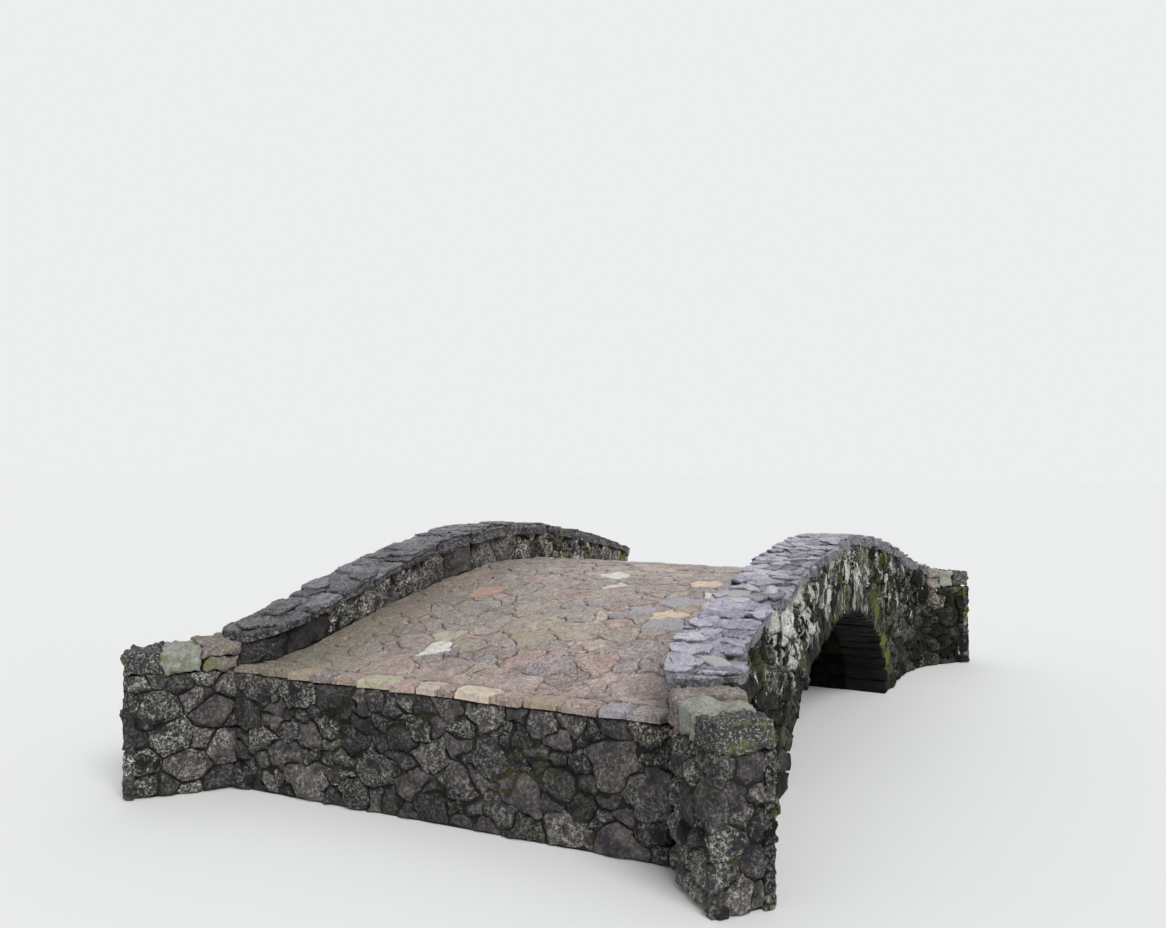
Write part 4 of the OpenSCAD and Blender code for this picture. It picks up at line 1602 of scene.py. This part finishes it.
heap = Heap("vault_stones")
for block in loose_blocks("arch_barrel"):
    joints = [-HALF_W]
    while joints[-1] < HALF_W - 0.80:
        joints.append(joints[-1] + rng.uniform(*VAULT_STONE))
    joints.append(HALF_W)
    for a, b in zip(joints, joints[1:]):
        piece = block.copy()
        keep_between(piece, 1, a + HALF_JOINT, b - HALF_JOINT)
        heap.add(rough_block(piece, (0.07, 0.10, 0.07), bevel=0.008, push=0.018, scale=0.12,
                             rng=rng, shrink=0.0, kinds_of=(-0.4, -0.2)))
    block.free()
heap.finish(vault_stone, "vault_stone", "arch_barrel", crisp=40)

# %% [markdown]
# ## Boulders on the wings
#
# Three boulders stand on the low step of each wing: a stack of two flat
# pinkish stones, a pale one and a dark one. They are the same blocks as in the
# model, but far more worn than the arch stones. So they get a wide bevel, and
# `smooth_vert` rounds them before the noise roughens them.

# %% Boulders
# tone of the boulders on a wing's step, from the coped wall outwards
BOULDER_TONES = (0.62, 0.98, 0.04)
boulder_nodes = sorted(n for n in nodes if n.endswith("_boulders"))
heap = Heap("end_boulders")
rng = random.Random(55)
for node in boulder_nodes:
    blocks = loose_blocks(node)
    blocks.sort(key=lambda b: sum(abs(v.co.x) for v in b.verts) / len(b.verts))
    for tone, block in zip(BOULDER_TONES, blocks):
        low, high = (f(v.co.z for v in block.verts) for f in (min, max))
        joint = low + (high - low) * rng.uniform(0.48, 0.56)
        layers = [(low, high)]
        if tone == BOULDER_TONES[0]:        # two flat stones, one on the other
            layers = [(low, joint - HALF_JOINT), (joint + HALF_JOINT, high)]
        for a, b in layers:
            piece = block.copy()
            if len(layers) > 1:
                keep_between(piece, 2, a, b)
            heap.add(rough_block(piece, (0.03, 0.03, 0.03), bevel=0.028, push=0.028, scale=0.11,
                                 rng=rng, tone=tone + rng.uniform(-0.03, 0.02), round_off=5))
        block.free()
heap.finish(boulder_stone, "boulder_stone", *boulder_nodes, crisp=42)

# %% [markdown]
# ## End faces
#
# Three kinds of flat face are left: the walls that close the fill under each
# threshold, the ends of the wings, and the short face where the coped wall
# steps down to the boulders. They get the same rubble, because a real wall is
# faced all round. The fill is hidden, and only takes the mortar's finish.

# %% End faces
END_LOOK = dict(OUTER_LOOK, depth=0.06, step=0.045)
END_KINDS = (-0.45, -0.30, -0.20, -0.45, 0.05)
END_RECESS = 0.022      # the stones' edges lie this far behind the face of the solid


def face_end_wall(heap, rng, end):
    """Lays the wall under a threshold."""
    wide = edge_y(DECK_HALF) - 0.008
    top = PATH_Z - PAVING_T - EDGE_GAP
    limits = box_limits((-wide, EDGE_GAP), (wide, top))
    seeds = scatter(rng, (-wide + 0.03, 0.03), (wide - 0.03, top - 0.03),
                    (0.12, 0.18, 0.25, 0.33), squash=1.35, spread=0.84, tries=2500)

    def place(u, v, high):
        return Vector((end * (DECK_HALF - END_RECESS + high), u, v))

    wavy = waver(place, amount=0.06, scale=0.13, seed=9 + end,
                 hold=lambda u, v: ease(min(wide - abs(u), v, top - v), 0.08))
    lay(heap, seeds, lambda u, v: limits, END_LOOK, wavy, rng, squash=1.35, kinds=END_KINDS)


def face_wing_end(heap, rng, end, side, turn, low, top, seeds):
    """Lays a face square to a wing, at a turn of the wing and between two heights."""
    limits = box_limits((END_GAP, low + EDGE_GAP), (WALL_T - END_GAP, top - EDGE_GAP))
    ahead = Vector((math.cos(turn), math.sin(turn)))

    def place(u, v, high):
        r = WING_R - u
        x = STRAIGHT + r * math.sin(turn) + ahead.x * (high - END_RECESS)
        y = HALF_W + WING_R - r * math.cos(turn) + ahead.y * (high - END_RECESS)
        return Vector((end * x, side * y, v))

    lay(heap, seeds, lambda u, v: limits, END_LOOK, place, rng, squash=1.2, kinds=END_KINDS)


print("wall under a threshold", round(2 * edge_y(DECK_HALF), 2), "m wide")

# %% End facing
rng = random.Random(61)
heap = Heap("end_facing")
coped_top = wall_top(STRAIGHT + MIDDLE * math.sin(COPED_TURN))
for end in (-1, 1):
    face_end_wall(heap, rng, end)
    for side in (FRONT, BACK):
        seeds = scatter(rng, (0.05, 0.05), (WALL_T - 0.05, STEP_TOP - 0.05), (0.16, 0.22, 0.30),
                        squash=1.2, spread=0.8, tries=300)
        face_wing_end(heap, rng, end, side, WING_TURN, 0.0, STEP_TOP, seeds)
        seeds = [(0.12, STEP_TOP + 0.10, 0.2, 0.0), (0.30, STEP_TOP + 0.09, 0.2, 0.0)]
        face_wing_end(heap, rng, end, side, COPED_TURN, STEP_TOP, coped_top, seeds)
heap.finish(wall_stone, "wall_stone")

for node in ("near_fill", "far_fill"):
    nodes[node].data.materials.clear()
    nodes[node].data.materials.append(wall_mortar)

# %% [markdown]
# ## Floor, light and camera
#
# A pale floor under even light shows the stone at a plain level: a sky that
# gives half of it, a broad soft sun, and a weaker one from behind. A paler
# world would light the stone too much, so what the camera sees as the sky has
# a colour of its own, which is that of the lit floor, and no horizon shows.

# %% Floor
FLOOR_HALF = 60.0
bm = bmesh.new()
bmesh.ops.create_grid(bm, x_segments=1, y_segments=1, size=FLOOR_HALF)
mesh = bpy.data.meshes.new("floor")
bm.to_mesh(mesh)
bm.free()
floor = bpy.data.objects.new("floor", mesh)
floor.location.z = CAD_BOX[0].z - 0.001
bpy.context.scene.collection.objects.link(floor)
paint = bpy.data.materials.new("floor paint")
paint.use_nodes = True
chalky = paint.node_tree.nodes["Principled BSDF"]
chalky.inputs["Base Color"].default_value = (0.80, 0.80, 0.79, 1)
chalky.inputs["Roughness"].default_value = 1.0
chalky.inputs["Specular IOR Level"].default_value = 0.0
mesh.materials.append(paint)
floor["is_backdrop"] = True
print("floor", 2 * FLOOR_HALF, "m wide at", round(floor.location.z, 3))

# %% Light
BACKDROP = (0.84, 0.86, 0.86)
world = bpy.data.worlds.new("sky")
bpy.context.scene.world = world
world.use_nodes = True
tree = world.node_tree
sky = tree.nodes["Background"]
sky.inputs["Color"].default_value = (0.94, 0.97, 1.0, 1)
sky.inputs["Strength"].default_value = 0.50
seen = tree.nodes.new("ShaderNodeBackground")
seen.inputs["Color"].default_value = (*BACKDROP, 1)
path = tree.nodes.new("ShaderNodeLightPath")
both = tree.nodes.new("ShaderNodeMixShader")
tree.links.new(path.outputs["Is Camera Ray"], both.inputs["Fac"])
tree.links.new(sky.outputs[0], both.inputs[1])
tree.links.new(seen.outputs[0], both.inputs[2])
tree.links.new(both.outputs[0], tree.nodes["World Output"].inputs["Surface"])


def sun(name, comes_from, strength, spread):
    """A sun that shines from a direction; spread is its width in degrees."""
    data = bpy.data.lights.new(name, "SUN")
    data.energy, data.angle = strength, math.radians(spread)
    obj = bpy.data.objects.new(name, data)
    obj.rotation_euler = (-Vector(comes_from)).to_track_quat("-Z", "Y").to_euler()
    bpy.context.scene.collection.objects.link(obj)


sun("key", comes_from=(-0.60, -0.75, 0.9), strength=2.2, spread=30)
sun("fill", comes_from=(0.7, 0.6, 0.8), strength=0.45, spread=60)
print("lamps:", len(bpy.data.lights))

# %% [markdown]
# ## Camera
#
# The camera stands at eye height beside the path, where the edges of the
# bridge put it. It looks level, so that upright lines stay upright, and its
# lens is shifted a little, as with a view camera.

# %% Camera
EYE = Vector((-9.075, -3.978, PATH_Z + 1.55))
YAW = 0.465             # turn of the view from +X towards +Y
FOCAL_PX, HORIZON_PX = 1115.0, 439.5    # in pixels of a picture of this size
PHOTO_W, PHOTO_H = 1166, 928
SENSOR = 36.0           # millimetres
data = bpy.data.cameras.new("camera")
data.sensor_width = SENSOR
data.lens = SENSOR * FOCAL_PX / PHOTO_W
data.shift_y = -(PHOTO_H / 2 - HORIZON_PX) / PHOTO_W
camera = bpy.data.objects.new("camera", data)
camera.location = EYE
camera.rotation_euler = (math.radians(90), 0, YAW - math.radians(90))
bpy.context.scene.collection.objects.link(camera)
bpy.context.scene.camera = camera
bpy.context.scene.view_settings.view_transform = "Standard"
print("lens", round(data.lens, 1), "mm, shift", round(data.shift_y, 4))

# %% [markdown]
# ## Last sizes
#
# The dressed bridge stays inside the box of the packed model, as every stone
# is clamped to it. Both boxes are printed.

# %% Sizes out
VISUAL_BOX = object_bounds()
print("visual box", [round(v, 3) for corner in VISUAL_BOX for v in corner],
      f"{time.time() - started:.0f} s")
